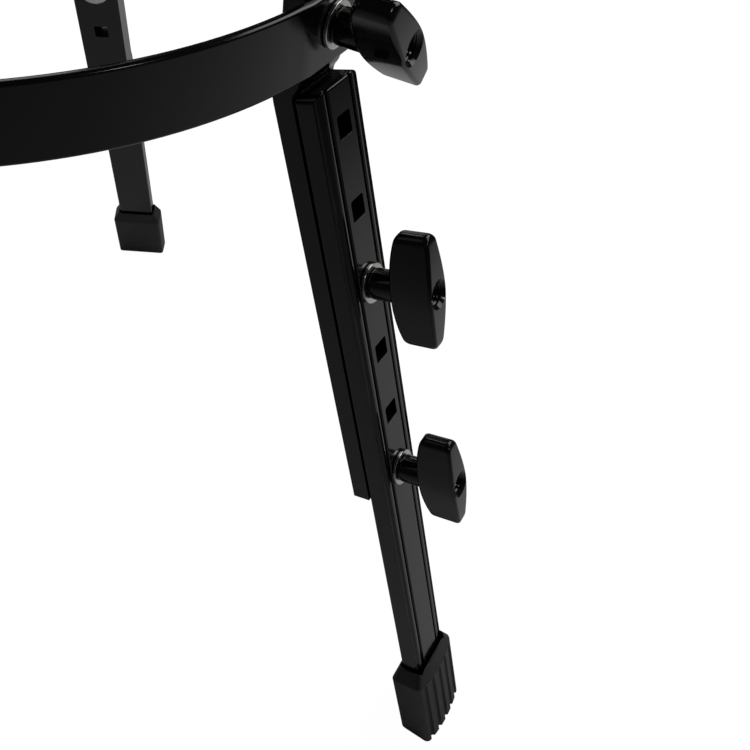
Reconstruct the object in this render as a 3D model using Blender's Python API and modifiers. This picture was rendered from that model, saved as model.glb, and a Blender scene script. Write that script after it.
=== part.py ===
"""Conga stand: three bolted legs with sliding extensions, two hoops and wing nuts.

Metres, +Z up. Everything is built round the axis of the hoops, with leg 1 at +X and
the other two 120 degrees on. The legs are alike, so each mesh is made once for leg 1
and shared by the other two. Last, the stand is moved so that the middle of its
footprint on the floor is the origin.
"""

import math

import bmesh
import bpy
from mathutils import Matrix, Vector

MM = 0.001
LEGS = 3
CLEARANCE = 0.3 * MM

# Flat bar of the legs
BAR_WIDTH = 27.0 * MM
BAR_THICKNESS = 7.6 * MM
BAR_ROUNDING = 1.2 * MM
LEAN = math.radians(16.6)
BAR_END_BELOW_LAST_HOLE = 12.5 * MM
FLARE = math.radians(8.5)
FLARE_HEIGHT = 200.0 * MM
JOGGLE_HEIGHT = 4.0 * MM

# Bar of the extensions: a rounded rail runs along each edge of its outer face
EXTENSION_WIDTH = 25.0 * MM
EXTENSION_DEPTH = 10.2 * MM
EXTENSION_CORNER = 2.6 * MM
RAIL_CREST = 9.6 * MM
GROOVE_INNER = 6.9 * MM
GROOVE_OUTER = 7.9 * MM
GROOVE_DEPTH = 1.2 * MM
FACE_HALF_WIDTH = 6.5 * MM
FACE_RECESS = 0.5 * MM
EXTENSION_END_ROUNDING = 3.0 * MM
EXTENSION_END_EDGE = 0.6 * MM
EXTENSION_ABOVE_FIRST_HOLE = 15.0 * MM

# Square holes, in the bar and in the extension alike
HOLE_SIDE = 8.4 * MM
HOLE_PITCH = 32.0 * MM
HOLE_COUNT = 6
UPPER_BOLT_HOLE = 2
LOWER_BOLT_HOLE = 5

# Place of the legs: the first hole, on the outer face of the extension
LOWER_SEAT_RADIUS = 156.6 * MM
FIRST_HOLE_OUT_FROM_SEAT = 8.1 * MM
FIRST_HOLE_RADIUS = LOWER_SEAT_RADIUS + FIRST_HOLE_OUT_FROM_SEAT
FIRST_HOLE_HEIGHT = 334.6 * MM
FLOOR_DOWN_THE_LEG = FIRST_HOLE_HEIGHT / math.cos(LEAN)

# Hoops
BAND_HEIGHT = 25.0 * MM
BAND_THICKNESS = 3.4 * MM
BAND_ROUNDING = 1.0 * MM
BAND_ABOVE_FIRST_HOLE = 19.6 * MM
LOWER_BAND_BOTTOM = FIRST_HOLE_HEIGHT + BAND_ABOVE_FIRST_HOLE
SEAT_SET_IN = 0.2 * MM
SEAT_HALF_WIDTH = 13.0 * MM
SEAT_BLEND = 5.0 * MM
BAND_STEPS_PER_LEG = 20
BAND_HOLE_DIAMETER = 8.6 * MM
BOLT_ABOVE_BAND_MIDDLE = 1.4 * MM

# Bolts, washers and wing nuts
BOLT_DIAMETER = 7.7 * MM
BOLT_HEAD_DIAMETER = 18.0 * MM
BOLT_HEAD_HEIGHT = 4.4 * MM
BOLT_NECK_SIDE = 7.8 * MM
BOLT_NECK_LENGTH = 6.0 * MM
BOLT_REACH = 22.5 * MM
BOLT_SEGMENTS = 16
WASHER_DIAMETER = 15.8 * MM
WASHER_HOLE = 8.5 * MM
WASHER_THICKNESS = 1.4 * MM
NUT_BORE = 8.4 * MM
NUT_MOUTH = 11.4 * MM
NUT_MOUTH_DEPTH = 1.5 * MM
NUT_HUB_DIAMETER = 12.2 * MM
NUT_HUB_CHAMFER = 0.7 * MM
NUT_SEGMENTS = 18
WING_HALF_LENGTH = 23.7 * MM
WING_INNER = 9.2 * MM
WING_INNER_SWEEP = 2.8 * MM
WING_OUTER = 26.2 * MM
WING_OUTER_SWEEP = 1.3 * MM
WING_HALF_WIDTH = 6.5 * MM
WING_TIP_HALF_WIDTH = 3.3 * MM
WING_CORNER = 1.0 * MM
WING_NOSE = 3.2 * MM
WING_NOSE_BLUNTNESS = 0.35
WING_TIP_ROUNDING = 1.6 * MM

# Feet and top caps
FOOT_HALF_WIDTH = 18.8 * MM
FOOT_FRONT = 1.3 * MM
FOOT_REAR = -14.8 * MM
FOOT_BULGE = 2.1 * MM
FOOT_FRONT_CORNER = 2.2 * MM
FOOT_REAR_CORNER = 1.2 * MM
FOOT_UNDER_POCKET = 17.15 * MM
FOOT_POCKET = FLOOR_DOWN_THE_LEG - FOOT_UNDER_POCKET
FOOT_POCKET_TO_SHOULDER = 31.5 * MM
FOOT_SHOULDER = FOOT_POCKET - FOOT_POCKET_TO_SHOULDER
FOOT_SHOULDER_DROOP = 2.2 * MM
FOOT_COLLAR = 6.5 * MM
FOOT_TOP = FOOT_SHOULDER - FOOT_COLLAR
FOOT_PAST_FLOOR = 60.0 * MM
FOOT_MOUTH_GAP = 0.9 * MM
FOOT_MOUTH_DEPTH = 4.0 * MM
FOOT_LIP = 1.6 * MM
FOOT_GROOVES = 5
FOOT_GROOVE_PITCH = 7.0 * MM
FOOT_GROOVE_WIDTH = 1.8 * MM
FOOT_GROOVE_DEPTH = 1.0 * MM
FOOT_GROOVE_BELOW_SHOULDER = 1.5 * MM
CAP_WALL = 2.5 * MM
CAP_REACH = 16.0 * MM

# Sizes that follow from the ones above
BAR_FRONT = -(EXTENSION_DEPTH + CLEARANCE)
BAR_REAR = BAR_FRONT - BAR_THICKNESS
LOWER_BAND_TOP = LOWER_BAND_BOTTOM + BAND_HEIGHT
LOWER_BOLT_HEIGHT = LOWER_BAND_BOTTOM + BAND_HEIGHT / 2 + BOLT_ABOVE_BAND_MIDDLE
BAR_FRONT_AT_LOWER = LOWER_SEAT_RADIUS - BAND_THICKNESS - CLEARANCE
FLARE_BOTTOM = LOWER_BAND_TOP + 4.0 * MM
FLARE_TOP = FLARE_BOTTOM + FLARE_HEIGHT
BAR_FRONT_AT_UPPER = BAR_FRONT_AT_LOWER + FLARE_HEIGHT * math.tan(FLARE)
UPPER_SEAT_RADIUS = BAR_FRONT_AT_UPPER + CLEARANCE + BAND_THICKNESS
UPPER_BAND_BOTTOM = FLARE_TOP + 4.0 * MM
UPPER_BOLT_HEIGHT = UPPER_BAND_BOTTOM + BAND_HEIGHT / 2 + BOLT_ABOVE_BAND_MIDDLE
BAR_TOP = UPPER_BAND_BOTTOM + BAND_HEIGHT + 22.0 * MM
WASHER_START = CLEARANCE
NUT_START = WASHER_START + WASHER_THICKNESS + CLEARANCE
LAST_HOLE = (HOLE_COUNT - 1) * HOLE_PITCH

LEG_PLACE = Matrix.Translation((FIRST_HOLE_RADIUS, 0, FIRST_HOLE_HEIGHT)) @ Matrix.Rotation(-LEAN, 4, "Y")


def clear_scene():
    """Removes the objects that Blender starts with."""
    for item in list(bpy.data.objects):
        bpy.data.objects.remove(item, do_unlink=True)


def new_collection(name, hidden=False):
    """A collection linked to the scene, hidden from renders for the cutters."""
    collection = bpy.data.collections.new(name)
    collection.hide_render = hidden
    bpy.context.scene.collection.children.link(collection)
    return collection


def make_material(name, color, roughness, metallic):
    """One Principled material."""
    material = bpy.data.materials.new(name)
    material.use_nodes = True
    shader = material.node_tree.nodes["Principled BSDF"]
    shader.inputs["Base Color"].default_value = (*color, 1)
    shader.inputs["Roughness"].default_value = roughness
    shader.inputs["Metallic"].default_value = metallic
    return material


def tidy(mesh):
    """Welds doubled points and turns the faces outwards."""
    shape = bmesh.new()
    shape.from_mesh(mesh)
    bmesh.ops.remove_doubles(shape, verts=shape.verts, dist=0.001 * MM)
    bmesh.ops.recalc_face_normals(shape, faces=shape.faces)
    shape.to_mesh(mesh)
    shape.free()


def evaluated_mesh(item):
    """The object's mesh with its modifiers applied, in its own space."""
    graph = bpy.context.evaluated_depsgraph_get()
    mesh = bpy.data.meshes.new_from_object(item.evaluated_get(graph))
    bpy.data.objects.remove(item, do_unlink=True)
    tidy(mesh)
    return mesh


def temporary(mesh, name="work"):
    """A scene object that holds a mesh while modifiers work on it."""
    item = bpy.data.objects.new(name, mesh)
    bpy.context.scene.collection.objects.link(item)
    return item


def prism(outlines, half_depth):
    """A flat outline given depth.

    The first outline is the outer edge and the others are holes. The outline lies
    in local X and Y and the depth runs along local Z, both ways from zero.
    """
    curve = bpy.data.curves.new("outline", "CURVE")
    curve.dimensions = "2D"
    curve.fill_mode = "BOTH"
    curve.extrude = half_depth
    for outline in outlines:
        spline = curve.splines.new("POLY")
        spline.points.add(len(outline) - 1)
        for point, (x, y) in zip(spline.points, outline):
            point.co = (x, y, 0, 1)
        spline.use_cyclic_u = True
    return evaluated_mesh(temporary(curve))


def box(low, high):
    """A box mesh between two corners."""
    mesh = bpy.data.meshes.new("box")
    shape = bmesh.new()
    bmesh.ops.create_cube(shape, size=1)
    size = [b - a for a, b in zip(low, high)]
    middle = [(a + b) / 2 for a, b in zip(low, high)]
    bmesh.ops.scale(shape, vec=size, verts=shape.verts)
    bmesh.ops.translate(shape, vec=middle, verts=shape.verts)
    shape.to_mesh(mesh)
    shape.free()
    return mesh


def rod(radius, start, end, segments):
    """A cylinder along local X."""
    mesh = bpy.data.meshes.new("rod")
    shape = bmesh.new()
    bmesh.ops.create_cone(
        shape, cap_ends=True, segments=segments, radius1=radius, radius2=radius, depth=end - start
    )
    shape.to_mesh(mesh)
    shape.free()
    mesh.transform(Matrix.Translation(((start + end) / 2, 0, 0)) @ Matrix.Rotation(math.pi / 2, 4, "Y"))
    return mesh


def turned(profile, segments):
    """A profile of (distance along X, radius) turned round local X."""
    mesh = bpy.data.meshes.new("profile")
    points = [(radius, 0, along) for along, radius in profile]
    edges = [(i, i + 1) for i in range(len(points) - 1)]
    mesh.from_pydata(points, edges, [])
    item = temporary(mesh)
    screw = item.modifiers.new("turn", "SCREW")
    screw.axis = "Z"
    screw.steps = segments
    screw.render_steps = segments
    screw.use_merge_vertices = True
    screw.merge_threshold = 0.00005
    mesh = evaluated_mesh(item)
    mesh.transform(Matrix.Rotation(math.pi / 2, 4, "Y"))
    return mesh


def lofted(rings):
    """A closed body through rings that each hold the same number of points."""
    mesh = bpy.data.meshes.new("loft")
    shape = bmesh.new()
    loops = [[shape.verts.new(point) for point in ring] for ring in rings]
    for lower, upper in zip(loops, loops[1:]):
        for index in range(len(lower)):
            after = (index + 1) % len(lower)
            shape.faces.new((lower[index], lower[after], upper[after], upper[index]))
    shape.faces.new(loops[0][::-1])
    shape.faces.new(loops[-1])
    bmesh.ops.recalc_face_normals(shape, faces=shape.faces)
    shape.to_mesh(mesh)
    shape.free()
    return mesh


def bevelled(mesh, width, segments, angle_deg):
    """The mesh with its sharp edges rounded."""
    item = temporary(mesh)
    bevel = item.modifiers.new("round", "BEVEL")
    bevel.width = width
    bevel.segments = segments
    bevel.limit_method = "ANGLE"
    bevel.angle_limit = math.radians(angle_deg)
    return evaluated_mesh(item)


def combined(mesh, others, operation):
    """The mesh cut by, joined with or kept inside each of the other meshes."""
    item = temporary(mesh)
    helpers = []
    for other in others:
        helper = temporary(other, "cutter")
        cutters.objects.link(helper)
        bpy.context.scene.collection.objects.unlink(helper)
        helper.hide_render = True
        helper.display_type = "WIRE"
        helpers.append(helper)
        boolean = item.modifiers.new("cut", "BOOLEAN")
        boolean.operation = operation
        boolean.solver = "EXACT"
        boolean.object = helper
    result = evaluated_mesh(item)
    for helper in helpers:
        bpy.data.objects.remove(helper, do_unlink=True)
    return result


def moved(mesh, matrix):
    """The same mesh, moved."""
    mesh.transform(matrix)
    return mesh


def leg_hole_cutters(low, high):
    """Square cutters for the row of holes, across the leg from low to high."""
    half = HOLE_SIDE / 2
    cubes = []
    for index in range(HOLE_COUNT):
        height = -index * HOLE_PITCH
        cubes.append(box((low, -half, height - half), (high, half, height + half)))
    return cubes


def bar_front_line():
    """Front face of the bar seen from the side, from its lower end up, in world X and Z."""
    straight_top = LEG_PLACE @ Vector((BAR_FRONT, 0, EXTENSION_ABOVE_FIRST_HOLE))
    lower_end = LEG_PLACE @ Vector((BAR_FRONT, 0, -LAST_HOLE - BAR_END_BELOW_LAST_HOLE))
    return [
        (lower_end.x, lower_end.z),
        (straight_top.x, straight_top.z),
        (BAR_FRONT_AT_LOWER, straight_top.z + JOGGLE_HEIGHT),
        (BAR_FRONT_AT_LOWER, FLARE_BOTTOM),
        (BAR_FRONT_AT_UPPER, FLARE_TOP),
        (BAR_FRONT_AT_UPPER, BAR_TOP),
    ]


def offset_line(line, distance):
    """The line moved to its left by a distance, with mitred bends."""
    moved_points = []
    for index, point in enumerate(line):
        before = Vector(line[max(index - 1, 0)])
        here = Vector(point)
        after = Vector(line[min(index + 1, len(line) - 1)])
        first = (here - before).normalized() if index else (after - here).normalized()
        second = (after - here).normalized() if index < len(line) - 1 else first
        normal_1 = Vector((-first.y, first.x))
        normal_2 = Vector((-second.y, second.x))
        mitre = (normal_1 + normal_2).normalized()
        length = distance / mitre.dot(normal_1)
        moved_points.append(tuple(here + mitre * length))
    return moved_points


def main_leg_mesh():
    """The flat bar: leaning below, upright behind each hoop, flared between them."""
    front = bar_front_line()
    rear = offset_line(front, BAR_THICKNESS)
    outline = front + rear[::-1]
    mesh = prism([outline], BAR_WIDTH / 2)
    mesh.transform(Matrix.Rotation(math.pi / 2, 4, "X"))
    mesh = bevelled(mesh, BAR_ROUNDING, 2, 60)
    past = 3.0 * MM
    holes = [moved(cut, LEG_PLACE) for cut in leg_hole_cutters(BAR_REAR - past, BAR_FRONT + past)]
    half = HOLE_SIDE / 2
    for radius, height in ((BAR_FRONT_AT_LOWER, LOWER_BOLT_HEIGHT), (BAR_FRONT_AT_UPPER, UPPER_BOLT_HEIGHT)):
        low = (radius - BAR_THICKNESS - past, -half, height - half)
        high = (radius + past, half, height + half)
        holes.append(box(low, high))
    return combined(mesh, holes, "DIFFERENCE")


def extension_outline(side_limit):
    """Outline of the extension across the leg: a flat face between two rounded rails.

    No point lies further to the side than the limit.
    """
    half = EXTENSION_WIDTH / 2
    rear_corner = 1.0 * MM
    edge = half - RAIL_CREST
    side = [
        (-EXTENSION_DEPTH, half - rear_corner),
        (-EXTENSION_DEPTH + rear_corner, half),
        (-EXTENSION_CORNER, half),
        (-0.45 * EXTENSION_CORNER, half - 0.12 * edge),
        (-0.12 * EXTENSION_CORNER, half - 0.45 * edge),
        (0.0, RAIL_CREST),
        (-0.3 * GROOVE_DEPTH, (RAIL_CREST + GROOVE_OUTER) / 2),
        (-GROOVE_DEPTH, GROOVE_OUTER),
        (-GROOVE_DEPTH, GROOVE_INNER),
        (-FACE_RECESS, FACE_HALF_WIDTH),
    ]
    side = [(x, min(y, side_limit)) for x, y in side]
    return side + [(x, -y) for x, y in reversed(side)]


def extension_ring(height, side_inset, depth_inset):
    """The extension's outline at a height, drawn in from its sides and its faces."""
    slim = 1 - 2 * depth_inset / EXTENSION_DEPTH
    middle = -EXTENSION_DEPTH / 2
    outline = extension_outline(EXTENSION_WIDTH / 2 - side_inset)
    return [(middle + (x - middle) * slim, y, height) for x, y in outline]


def leg_extension_mesh():
    """The extension, its top corners rounded, with square holes right through it."""
    top = EXTENSION_ABOVE_FIRST_HOLE
    rounding = EXTENSION_END_ROUNDING
    rings = [extension_ring(-FOOT_POCKET + CLEARANCE, 0.0, 0.0)]
    for degrees in (0, 25, 50):
        angle = math.radians(degrees)
        height = top - rounding * (1 - math.sin(angle))
        rings.append(extension_ring(height, rounding * (1 - math.cos(angle)), 0.0))
    rings.append(extension_ring(top - 0.1 * rounding, 0.55 * rounding, 0.3 * EXTENSION_END_EDGE))
    rings.append(extension_ring(top, rounding, EXTENSION_END_EDGE))
    past = 2.0 * MM
    return combined(lofted(rings), leg_hole_cutters(-EXTENSION_DEPTH - past, past), "DIFFERENCE")


def foot_front(side, front):
    """How far out the foot's grooved face is, at a distance to the side of its middle."""
    return front + FOOT_BULGE * (1 - (side / FOOT_HALF_WIDTH) ** 2)


def foot_ring(front, rear, half, height, droop=0.0):
    """Outline of the foot across the leg: cut corners, and a front that swells outwards."""
    near = FOOT_FRONT_CORNER
    far = FOOT_REAR_CORNER
    ring = []
    for side in (-half + near, -half / 2, 0.0, half / 2, half - near):
        ring.append((foot_front(side, front), side, height - droop * (1 - (side / half) ** 2)))
    ring += [(front - near, half, height), (rear + far, half, height)]
    ring += [(rear, half - far, height), (rear, -half + far, height)]
    ring += [(rear + far, -half, height), (front - near, -half, height)]
    return ring


def foot_mesh():
    """The rubber boot: a sloping collar, a pocket for the extension, grooves and a level sole."""
    below_floor = -FOOT_POCKET - FOOT_PAST_FLOOR
    rim = FOOT_MOUTH_GAP + FOOT_LIP
    rings = [
        foot_ring(FOOT_FRONT, FOOT_REAR, FOOT_HALF_WIDTH, below_floor),
        foot_ring(FOOT_FRONT, FOOT_REAR, FOOT_HALF_WIDTH, -FOOT_SHOULDER, FOOT_SHOULDER_DROOP),
        foot_ring(rim - FOOT_BULGE, -EXTENSION_DEPTH - rim, EXTENSION_WIDTH / 2 + rim, -FOOT_TOP),
    ]
    body = lofted(rings)
    cuts = []
    for gap, floor in ((CLEARANCE, FOOT_POCKET), (FOOT_MOUTH_GAP, FOOT_TOP + FOOT_MOUTH_DEPTH)):
        half = EXTENSION_WIDTH / 2 + gap
        cuts.append(box((-EXTENSION_DEPTH - gap, -half, -floor), (gap, half, -FOOT_TOP + 5.0 * MM)))
    for index in range(FOOT_GROOVES):
        side = (index - (FOOT_GROOVES - 1) / 2) * FOOT_GROOVE_PITCH
        depth_at = foot_front(side, FOOT_FRONT) - FOOT_GROOVE_DEPTH
        low = (depth_at, side - FOOT_GROOVE_WIDTH / 2, below_floor - 1.0 * MM)
        droop = FOOT_SHOULDER_DROOP * (1 - (side / FOOT_HALF_WIDTH) ** 2)
        top = -FOOT_SHOULDER - droop - FOOT_GROOVE_BELOW_SHOULDER
        high = (FOOT_FRONT + 10.0 * MM, side + FOOT_GROOVE_WIDTH / 2, top)
        cuts.append(box(low, high))
    under_floor = box((0.05, -0.2, -0.2), (0.5, 0.2, 0.0))
    cuts.append(moved(under_floor, LEG_PLACE.inverted()))
    return combined(body, cuts, "DIFFERENCE")


def cap_mesh():
    """The rubber cap over the top end of a bar."""
    wall = CAP_WALL
    gap = CLEARANCE
    rear = BAR_FRONT_AT_UPPER - BAR_THICKNESS
    low = (rear - gap - wall, -BAR_WIDTH / 2 - gap - wall, BAR_TOP - CAP_REACH)
    high = (BAR_FRONT_AT_UPPER + gap + wall, BAR_WIDTH / 2 + gap + wall, BAR_TOP + gap + wall)
    body = bevelled(box(low, high), 1.5 * MM, 2, 60)
    inside = box(
        (rear - gap, -BAR_WIDTH / 2 - gap, BAR_TOP - CAP_REACH - 5.0 * MM),
        (BAR_FRONT_AT_UPPER + gap, BAR_WIDTH / 2 + gap, BAR_TOP + gap),
    )
    return combined(body, [inside], "DIFFERENCE")


def band_outline(seat_radius, inset):
    """Outline of a hoop from above: an arc between the legs, a flat seat at each leg."""
    circle = seat_radius + SEAT_SET_IN
    blend_half = SEAT_HALF_WIDTH + SEAT_BLEND
    arc_start = math.asin(blend_half / circle)
    arc_end = math.tau / LEGS - arc_start
    seat = seat_radius - inset
    radius = circle - inset
    points = []
    for leg in range(LEGS):
        turn = leg * math.tau / LEGS
        here = [(seat, -SEAT_HALF_WIDTH), (seat, SEAT_HALF_WIDTH)]
        for step in range(BAND_STEPS_PER_LEG + 1):
            angle = arc_start + (arc_end - arc_start) * step / BAND_STEPS_PER_LEG
            here.append((radius * math.cos(angle), radius * math.sin(angle)))
        rotate = Matrix.Rotation(turn, 2)
        points += [tuple(rotate @ Vector(point)) for point in here]
    return points


def hoop_mesh(seat_radius, bottom):
    """A flat band bent into a hoop, with a hole in each seat."""
    outlines = [band_outline(seat_radius, 0), band_outline(seat_radius, BAND_THICKNESS)]
    mesh = prism(outlines, BAND_HEIGHT / 2)
    mesh.transform(Matrix.Translation((0, 0, bottom + BAND_HEIGHT / 2)))
    mesh = bevelled(mesh, BAND_ROUNDING, 1, 60)
    holes = []
    for leg in range(LEGS):
        place = Matrix.Rotation(leg * math.tau / LEGS, 4, "Z")
        place = place @ Matrix.Translation((0, 0, bottom + BAND_HEIGHT / 2 + BOLT_ABOVE_BAND_MIDDLE))
        cutter = rod(BAND_HOLE_DIAMETER / 2, seat_radius - 10.0 * MM, seat_radius + 10.0 * MM, 20)
        holes.append(moved(cutter, place))
    return combined(mesh, holes, "DIFFERENCE")


def bolt_mesh(grip):
    """A carriage bolt: domed head, square neck and round shank, along local X.

    Zero is the face that the washer lies on, and the head is at -X, past the grip.
    """
    under_head = -grip - CLEARANCE
    head = BOLT_HEAD_DIAMETER / 2
    shank = BOLT_DIAMETER / 2
    dome = [
        (under_head - BOLT_HEAD_HEIGHT, 0),
        (under_head - BOLT_HEAD_HEIGHT * 0.85, head * 0.5),
        (under_head - BOLT_HEAD_HEIGHT * 0.2, head),
        (under_head, head),
        (under_head, shank),
        (BOLT_REACH - 0.8 * MM, shank),
        (BOLT_REACH, shank - 0.8 * MM),
        (BOLT_REACH, 0),
    ]
    mesh = turned(dome, BOLT_SEGMENTS)
    half = BOLT_NECK_SIDE / 2
    overlap = 0.5 * MM
    neck = box((under_head - overlap, -half, -half), (under_head + BOLT_NECK_LENGTH, half, half))
    return combined(mesh, [neck], "UNION")


def washer_mesh():
    """A flat washer with its inner face at zero, along local X."""
    start = WASHER_START
    ring = rod(WASHER_DIAMETER / 2, start, start + WASHER_THICKNESS, 20)
    hole = rod(WASHER_HOLE / 2, start - 1.0 * MM, start + WASHER_THICKNESS + 1.0 * MM, 16)
    return combined(ring, [hole], "DIFFERENCE")


def wing_ring(height):
    """Section of the wing across its length: a rectangle with its corners cut."""
    share = abs(height) / WING_HALF_LENGTH
    inner = WING_INNER + WING_INNER_SWEEP * share**3
    outer = WING_OUTER - WING_OUTER_SWEEP * share**2
    half = WING_HALF_WIDTH + (WING_TIP_HALF_WIDTH - WING_HALF_WIDTH) * share
    into_nose = max(0.0, 1 - (WING_HALF_LENGTH - abs(height)) / WING_NOSE)
    roundness = math.sqrt(1 - into_nose**2)
    half *= WING_NOSE_BLUNTNESS + (1 - WING_NOSE_BLUNTNESS) * roundness
    inner += WING_TIP_ROUNDING * (1 - roundness)
    outer -= WING_TIP_ROUNDING * (1 - roundness)
    corner = min(WING_CORNER, 0.6 * half)
    points = [(inner + corner, -half), (outer - corner, -half)]
    points += [(outer, -half + corner), (outer, half - corner)]
    points += [(outer - corner, half), (inner + corner, half)]
    points += [(inner, half - corner), (inner, -half + corner)]
    return [(x, y, height) for x, y in points]


def wing_nut_mesh():
    """The wing nut: a round hub under a thick wing, and a bore with a countersunk mouth.

    Its inner face is at zero and the bolt runs along local X, the wing along local Z.
    """
    upper = (0.08, 0.45, 0.865, 0.93, 0.98, 1)
    shares = [-share for share in reversed(upper)] + list(upper)
    wing = lofted([wing_ring(share * WING_HALF_LENGTH) for share in shares])
    radius = NUT_HUB_DIAMETER / 2
    hub = [
        (0.0, 0.0),
        (0.0, radius - NUT_HUB_CHAMFER),
        (NUT_HUB_CHAMFER, radius),
        (WING_INNER + 3.0 * MM, radius),
        (WING_INNER + 3.0 * MM, 0.0),
    ]
    past = 2.0 * MM
    bore = [
        (-past, 0.0),
        (-past, NUT_BORE / 2),
        (WING_OUTER - NUT_MOUTH_DEPTH, NUT_BORE / 2),
        (WING_OUTER, NUT_MOUTH / 2),
        (WING_OUTER + past, NUT_MOUTH / 2),
        (WING_OUTER + past, 0.0),
    ]
    whole = combined(wing, [turned(hub, NUT_SEGMENTS)], "UNION")
    return combined(whole, [turned(bore, NUT_SEGMENTS)], "DIFFERENCE")


def place_node(name, mesh, material, matrix):
    """Adds one piece of the stand to the scene."""
    node = bpy.data.objects.new(name, mesh)
    node.matrix_world = matrix
    stand.objects.link(node)
    if not mesh.materials:
        mesh.materials.append(material)
    return node


def smooth(mesh):
    """Shades a round piece smooth and keeps its real edges sharp."""
    mesh.shade_smooth()
    mesh.set_sharp_from_angle(angle=math.radians(35))


def bolt_places():
    """Each bolt's name, the place of the face under its washer, and its nut's turn."""
    upper_hole = LEG_PLACE @ Matrix.Translation((-FACE_RECESS, 0, -UPPER_BOLT_HOLE * HOLE_PITCH))
    lower_hole = LEG_PLACE @ Matrix.Translation((-FACE_RECESS, 0, -LOWER_BOLT_HOLE * HOLE_PITCH))
    lower_hoop = Matrix.Translation((LOWER_SEAT_RADIUS, 0, LOWER_BOLT_HEIGHT))
    upper_hoop = Matrix.Translation((UPPER_SEAT_RADIUS, 0, UPPER_BOLT_HEIGHT))
    return (
        ("height_upper", upper_hole, math.radians(-3.4)),
        ("height_lower", lower_hole, math.radians(1.9)),
        ("lower_hoop", lower_hoop, math.radians(42.5)),
        ("upper_hoop", upper_hoop, math.radians(-20)),
    )


def build_stand():
    """Makes every piece and sets it in its place round the three legs."""
    black_paint = make_material("black_paint", (0.012, 0.012, 0.013), 0.28, 0.0)
    black_nut = make_material("black_nut_plating", (0.02, 0.02, 0.022), 0.22, 0.6)
    zinc = make_material("zinc", (0.62, 0.62, 0.6), 0.3, 1.0)
    rubber = make_material("black_rubber", (0.025, 0.025, 0.025), 0.75, 0.0)

    leg_mesh = main_leg_mesh()
    extension_mesh = leg_extension_mesh()
    boot_mesh = foot_mesh()
    top_mesh = cap_mesh()
    height_grip = -BAR_REAR - FACE_RECESS
    hoop_grip = BAND_THICKNESS + CLEARANCE + BAR_THICKNESS
    height_bolt = bolt_mesh(height_grip)
    hoop_bolt = bolt_mesh(hoop_grip)
    washer = washer_mesh()
    nut = wing_nut_mesh()
    lower_hoop = hoop_mesh(LOWER_SEAT_RADIUS, LOWER_BAND_BOTTOM)
    upper_hoop = hoop_mesh(UPPER_SEAT_RADIUS, UPPER_BAND_BOTTOM)
    for mesh in (leg_mesh, boot_mesh, height_bolt, hoop_bolt, washer, nut, lower_hoop, upper_hoop):
        smooth(mesh)

    place_node("lower_hoop", lower_hoop, black_paint, Matrix.Identity(4))
    place_node("upper_hoop", upper_hoop, black_paint, Matrix.Identity(4))
    for leg in range(LEGS):
        number = leg + 1
        around = Matrix.Rotation(leg * math.tau / LEGS, 4, "Z")
        place_node(f"main_leg_{number}", leg_mesh, black_paint, around)
        place_node(f"leg_extension_{number}", extension_mesh, black_paint, around @ LEG_PLACE)
        place_node(f"foot_{number}", boot_mesh, rubber, around @ LEG_PLACE)
        place_node(f"top_cap_{number}", top_mesh, rubber, around)
        for name, face, turn in bolt_places():
            here = around @ face
            bolt = height_bolt if name.startswith("height") else hoop_bolt
            place_node(f"{name}_bolt_{number}", bolt, zinc, here)
            place_node(f"{name}_washer_{number}", washer, zinc, here)
            nut_place = here @ Matrix.Translation((NUT_START, 0, 0)) @ Matrix.Rotation(turn, 4, "X")
            place_node(f"{name}_wing_nut_{number}", nut, black_nut, nut_place)


def centre_footprint():
    """Moves the stand so that the middle of its bounding box is over the origin."""
    bpy.context.view_layer.update()
    corners = [item.matrix_world @ vertex.co for item in stand.objects for vertex in item.data.vertices]
    low = Vector([min(corner[axis] for corner in corners) for axis in (0, 1)])
    high = Vector([max(corner[axis] for corner in corners) for axis in (0, 1)])
    middle = (low + high) / 2
    move = Matrix.Translation((-middle.x, -middle.y, 0))
    for item in stand.objects:
        item.matrix_world = move @ item.matrix_world


clear_scene()
stand = new_collection("conga_stand")
cutters = new_collection("cutters", hidden=True)
build_stand()
centre_footprint()
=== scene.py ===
"""Studio picture of a conga stand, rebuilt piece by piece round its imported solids.

The legs are flat bars with a rail-edged extension bolted to each, two hoops tie them
together and every bolt carries a washer and a thick wing nut. Each piece is built here
again at full fineness, in metres with +Z up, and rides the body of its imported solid.
The camera stands where the photograph was taken from, close to one leg.
"""

import logging
import math
from collections.abc import Callable, Iterable
from dataclasses import dataclass, field
from enum import Enum

import bmesh
import bpy
from mathutils import Matrix, Vector

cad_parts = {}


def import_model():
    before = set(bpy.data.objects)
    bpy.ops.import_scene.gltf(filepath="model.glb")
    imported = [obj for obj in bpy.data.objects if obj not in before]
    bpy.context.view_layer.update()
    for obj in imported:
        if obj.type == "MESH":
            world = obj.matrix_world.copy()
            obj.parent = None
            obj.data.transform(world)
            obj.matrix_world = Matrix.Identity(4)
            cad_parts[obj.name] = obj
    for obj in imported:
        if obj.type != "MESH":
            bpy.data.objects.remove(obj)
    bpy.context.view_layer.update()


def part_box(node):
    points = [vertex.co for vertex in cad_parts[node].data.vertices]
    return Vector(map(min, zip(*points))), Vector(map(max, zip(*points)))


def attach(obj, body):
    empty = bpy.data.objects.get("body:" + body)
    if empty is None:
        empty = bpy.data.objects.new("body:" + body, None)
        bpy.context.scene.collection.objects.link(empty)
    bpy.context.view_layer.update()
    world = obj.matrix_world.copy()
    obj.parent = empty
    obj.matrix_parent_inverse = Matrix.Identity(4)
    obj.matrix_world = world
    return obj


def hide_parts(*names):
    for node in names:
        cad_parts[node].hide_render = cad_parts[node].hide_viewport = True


MM = 0.001
LEG_COUNT = 3
PICTURE_SIZE = 750
CLEARANCE = 0.3 * MM
STAND_BODY = "stand"

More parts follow.
